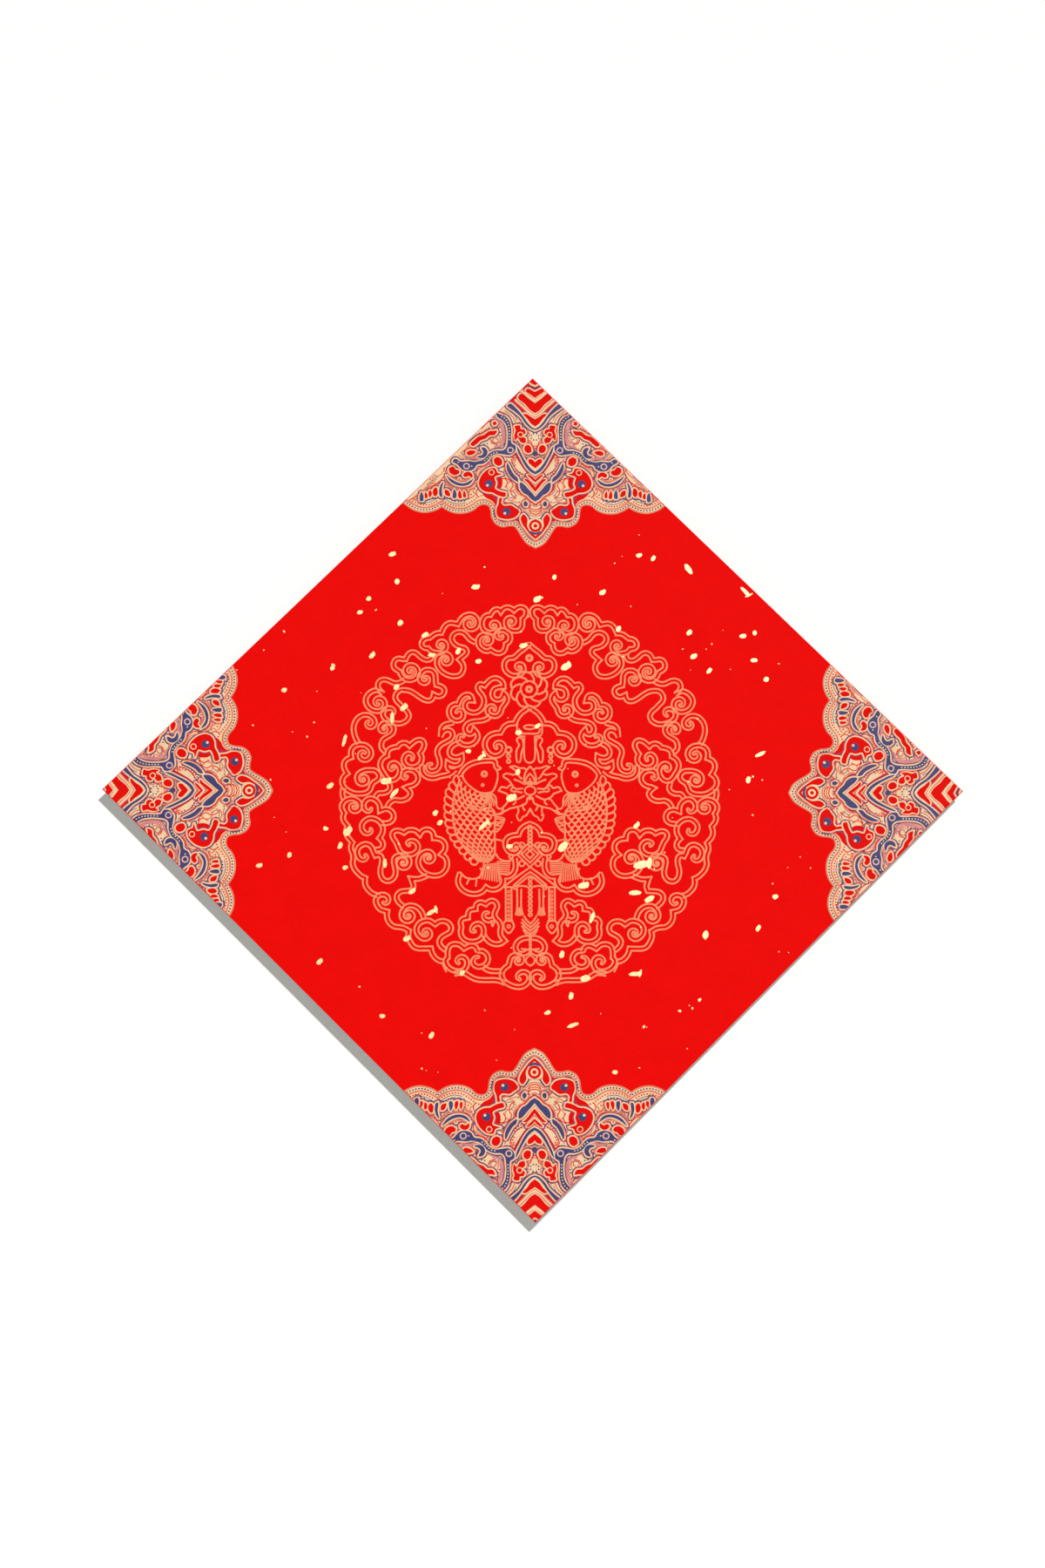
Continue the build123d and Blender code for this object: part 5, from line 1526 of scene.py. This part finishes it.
BIG_FLECKS = [
    (-80, 136, 1.6, 1.1, 20), (-77, 120, 1.5, 1.2, 70), (-33, 117, 1.8, 1.2, 10),
    (-93, 110, 1.3, 1.0, 45), (-98, 102, 1.2, 1.0, 15), (-75, 96, 1.6, 1.2, 60), (2, 110, 1.8, 1.4, 30),
    (12, 123, 1.4, 1.0, 80), (39, 114, 1.5, 1.2, 35), (88, 128, 3.0, 1.2, 122), (120, 115, 3.0, 0.9, -45),
    (60, 136, 1.4, 1.0, 15), (68, 134, 1.3, 0.9, 65), (88, 91, 1.6, 1.1, 40), (118, 89, 1.4, 1.1, 5),
    (125, 91, 1.2, 0.9, 85), (90, 77, 1.5, 1.2, 25), (99, 69, 1.6, 1.0, 50), (124, 75, 1.3, 1.0, 0),
    (131, 64, 1.4, 1.1, 30), (-113, 70, 1.5, 1.0, 75), (-140, 57, 1.4, 1.1, 20), (-91, 77, 1.6, 1.1, 45),
    (-31, 74, 1.4, 1.1, 10), (18, 71, 2.4, 1.6, 35), (48, 93, 1.5, 1.1, 55), (-6, 83, 1.6, 1.2, 15),
    (-106, 28, 3.0, 0.9, 75), (-114, 2, 1.6, 1.2, 40), (-116, -22, 1.3, 1.0, 0),
    (-108, -32, 1.5, 1.1, 65), (-105, -44, 1.4, 1.0, 25), (-104, -24, 2.3, 1.6, 50),
    (127, 21, 2.8, 0.9, 30), (120, 6, 1.4, 1.1, 80), (134, -60, 1.5, 1.1, 20), (124, -78, 1.4, 1.0, 55),
    (95, -81.5, 2.0, 1.4, 75), (55.5, -103.4, 2.9, 1.1, 5), (28, -106, 2.4, 1.5, 15),
    (15, -93, 1.5, 1.1, 70), (56, -58, 3.0, 1.2, 4), (60, -42, 4.2, 1.8, 12), (64, -61.5, 2.6, 1.3, 30),
    (57, -20, 1.6, 1.1, 45), (21, -132, 2.9, 0.9, 20), (-57, -138, 1.5, 1.1, 60),
    (-84, -127, 1.4, 1.0, 10), (-119, -97, 1.5, 1.1, 35), (-136, -37, 1.4, 1.1, 75),
    (-153, -43, 1.3, 1.0, 15), (-83, -41.6, 2.2, 1.0, 88), (-57, -69, 2.8, 1.0, 30),
    (-55, -13, 1.5, 1.1, 50), (-13, -4.5, 2.2, 1.6, 20), (16, -32, 3.0, 1.6, 50), (27, -54, 2.3, 1.5, 10),
    (32, -72, 2.8, 0.9, 70), (-28, -20, 3.2, 0.9, 45), (7, -125, 1.5, 1.0, 25), (60, -133, 0.7, 0.6, 60),
    (80, -124, 0.8, 0.6, 0), (91, -118, 0.8, 0.7, 40), (44, -158, 1.4, 1.0, 15), (20, -116, 1.5, 1.1, 75),
    (-61, 89, 1.8, 1.2, 30), (-57.5, 77.5, 1.5, 1.1, 0), (-77, 59, 1.6, 1.1, 45), (-73, 47, 2.0, 1.1, 45),
    (-79.3, 41, 2.8, 0.9, 88), (-83, 5, 2.3, 1.6, 10), (-78, -2, 3.0, 0.9, 50),
    (-42.5, 79.5, 1.5, 1.1, 65), (-36.7, 22.2, 1.4, 1.0, 20), (-29.5, 19, 2.2, 0.9, 45),
    (-8.5, 33, 1.6, 1.1, 5), (2, 36.5, 1.4, 1.0, 40), (-9, 10.5, 1.5, 1.1, 70), (-14, -32, 1.4, 1.1, 15),
    (-52.5, -18.5, 1.5, 1.1, 50), (-68, -57.5, 1.6, 1.1, 35), (-40, -103, 1.5, 1.1, 60),
    (-71, -84, 1.6, 1.2, 25),
]

# How much bigger than listed the big scraps are made, and how high the leaf stands.
FLECK_SPREAD = 1.2
LEAF_HEIGHT = 0.17

# A folded corner: its length, width and height as shares of its scrap's, and its turn from the scrap.
FOLD_LENGTH = 0.8
FOLD_WIDTH = 0.75
FOLD_HEIGHT = 1.12
FOLD_TURN = math.radians(70)

# The dust: its seed, how many specks, their least half length and what is added at most, their height as a
# share of the big scraps', and how far they keep from the sheet's edges.
DUST_SEED = 88
DUST_COUNT = 120
DUST_LENGTH = 0.28
DUST_EXTRA = 0.42
DUST_HEIGHT = 0.93
DUST_MARGIN = 3


def gold_flecks():
    """Torn scraps of leaf lying flat on the face, the big ones placed and the dust scattered."""
    rng = np.random.default_rng(DUST_SEED)
    places, reaches, turns = [], [], []
    for number, (x, z, long, wide, angle) in enumerate(BIG_FLECKS):
        turn = math.radians(angle)
        places.append((x, z))
        reaches.append((long * FLECK_SPREAD, wide * FLECK_SPREAD, 1.0))
        turns.append(turn)
        if number % 2 == 0:
            # A folded corner, a little thicker, gives the scrap a hook.
            places.append((x + long * math.cos(turn), z + long * math.sin(turn)))
            reaches.append((FOLD_LENGTH * long, FOLD_WIDTH * wide, FOLD_HEIGHT))
            turns.append(turn + FOLD_TURN)
    placed_by_hand = len(places)
    while len(places) < placed_by_hand + DUST_COUNT:
        x, z = rng.uniform(-HALF_DIAGONAL, HALF_DIAGONAL, 2)
        long = DUST_LENGTH + DUST_EXTRA * rng.random() ** 2
        wide = long * rng.uniform(0.5, 1.0)
        angle = rng.uniform(0, math.tau)
        if abs(x) + abs(z) < HALF_DIAGONAL - DUST_MARGIN:
            places.append((x, z))
            reaches.append((long, wide, DUST_HEIGHT))
            turns.append(angle)
    base = dots_mesh(places)
    base.attributes.new("reach", "FLOAT_VECTOR", "POINT").data.foreach_set("vector", np.ravel(reaches))
    spins = [(0.0, 0.0, angle) for angle in turns]
    base.attributes.new("turn", "FLOAT_VECTOR", "POINT").data.foreach_set("vector", np.ravel(spins))
    mesh = grown("leaf", base, LEAF, Leaf_height=LEAF_HEIGHT)
    return printed_piece("gold_leaf_flecks", [mesh], LEAF, ["gold_flecks"])


gold_flecks()


# ---------------------------------------------------------------------------------------------------------
# The laminated sheet keeps its CAD shape and takes on its stocks.
# ---------------------------------------------------------------------------------------------------------

STOCKS = {
    "face_paper": dyed_paper(),
    "back_lining_paper": lining_paper(),
    "card_core": grey_board(),
    "front_paste_film": dried_paste(),
}
STOCKS["back_paste_film"] = STOCKS["front_paste_film"]
for layer_name, stock in STOCKS.items():
    layer_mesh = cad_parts[layer_name].data
    layer_mesh.materials.clear()
    layer_mesh.materials.append(stock)


# ---------------------------------------------------------------------------------------------------------
# Stage, light and camera.
# ---------------------------------------------------------------------------------------------------------

WALL_BEHIND = 9.0
WALL_HALF_WIDTH = 1200.0
WALL_TOP = 1100.0
FLOOR_LEVEL = -620.0
FLOOR_REACH = 2600.0


def stage_plane(name, corners, material):
    """A flat part of the stage, through four corners in millimetres."""
    mesh = bpy.data.meshes.new(name)
    mesh.from_pydata([tuple(v * MM for v in corner) for corner in corners], [], [(0, 1, 2, 3)])
    mesh.materials.append(material)
    plane = bpy.data.objects.new(name, mesh)
    bpy.context.scene.collection.objects.link(plane)
    return plane


# The wall's front faces the viewer, along -Y.
stage_plane("wall", [
    (-WALL_HALF_WIDTH, WALL_BEHIND, FLOOR_LEVEL),
    (WALL_HALF_WIDTH, WALL_BEHIND, FLOOR_LEVEL),
    (WALL_HALF_WIDTH, WALL_BEHIND, WALL_TOP),
    (-WALL_HALF_WIDTH, WALL_BEHIND, WALL_TOP),
], painted_wall())
stage_plane("floor", [
    (-FLOOR_REACH, -FLOOR_REACH, FLOOR_LEVEL),
    (FLOOR_REACH, -FLOOR_REACH, FLOOR_LEVEL),
    (FLOOR_REACH, FLOOR_REACH, FLOOR_LEVEL),
    (-FLOOR_REACH, FLOOR_REACH, FLOOR_LEVEL),
], floor_lino())

SUN_TRAVEL = Vector((-3.1, 10.0, -4.2)).normalized()
SUN_STRENGTH = 2.5
SUN_WIDTH = math.radians(3)
SKY_LEVEL = 0.355

sun_data = bpy.data.lights.new("key_sun", "SUN")
sun_data.energy = SUN_STRENGTH
sun_data.angle = SUN_WIDTH
sun = bpy.data.objects.new("key_sun", sun_data)
sun.rotation_mode = "QUATERNION"
sun.rotation_quaternion = SUN_TRAVEL.to_track_quat("-Z", "Y")
bpy.context.scene.collection.objects.link(sun)

world = bpy.data.worlds.new("soft_room_light")
bpy.context.scene.world = world
world.use_nodes = True
world.node_tree.nodes.clear()
room = node(world.node_tree, "ShaderNodeBackground", {"Color": linear("FFFEFC"), "Strength": SKY_LEVEL})
node(world.node_tree, "ShaderNodeOutputWorld", {"Surface": room.outputs[0]})

CAMERA_LENS = 80.0
CAMERA_AIM = Vector((-6.39, 0.0, 3.78)) * MM
CAMERA_DISTANCE = 1.947
CAMERA_AZIMUTH = math.radians(-1.515)
CAMERA_ELEVATION = math.radians(-11.575)
CAMERA_ROLL = math.radians(-0.16)

outward = Vector((
    math.sin(CAMERA_AZIMUTH) * math.cos(CAMERA_ELEVATION),
    -math.cos(CAMERA_AZIMUTH) * math.cos(CAMERA_ELEVATION),
    math.sin(CAMERA_ELEVATION),
))
level_right = Vector((0, 0, 1)).cross(outward).normalized()
level_up = outward.cross(level_right)
camera_right = math.cos(CAMERA_ROLL) * level_right + math.sin(CAMERA_ROLL) * level_up
camera_up = outward.cross(camera_right)

camera_data = bpy.data.cameras.new("camera")
camera_data.lens = CAMERA_LENS
camera_data.sensor_width = 36.0
camera_data.clip_start = 0.05
camera = bpy.data.objects.new("camera", camera_data)
camera.matrix_world = Matrix((
    (camera_right.x, camera_up.x, outward.x, CAMERA_AIM.x + outward.x * CAMERA_DISTANCE),
    (camera_right.y, camera_up.y, outward.y, CAMERA_AIM.y + outward.y * CAMERA_DISTANCE),
    (camera_right.z, camera_up.z, outward.z, CAMERA_AIM.z + outward.z * CAMERA_DISTANCE),
    (0, 0, 0, 1),
))
bpy.context.scene.collection.objects.link(camera)
bpy.context.scene.camera = camera
bpy.context.scene.view_settings.view_transform = "Standard"
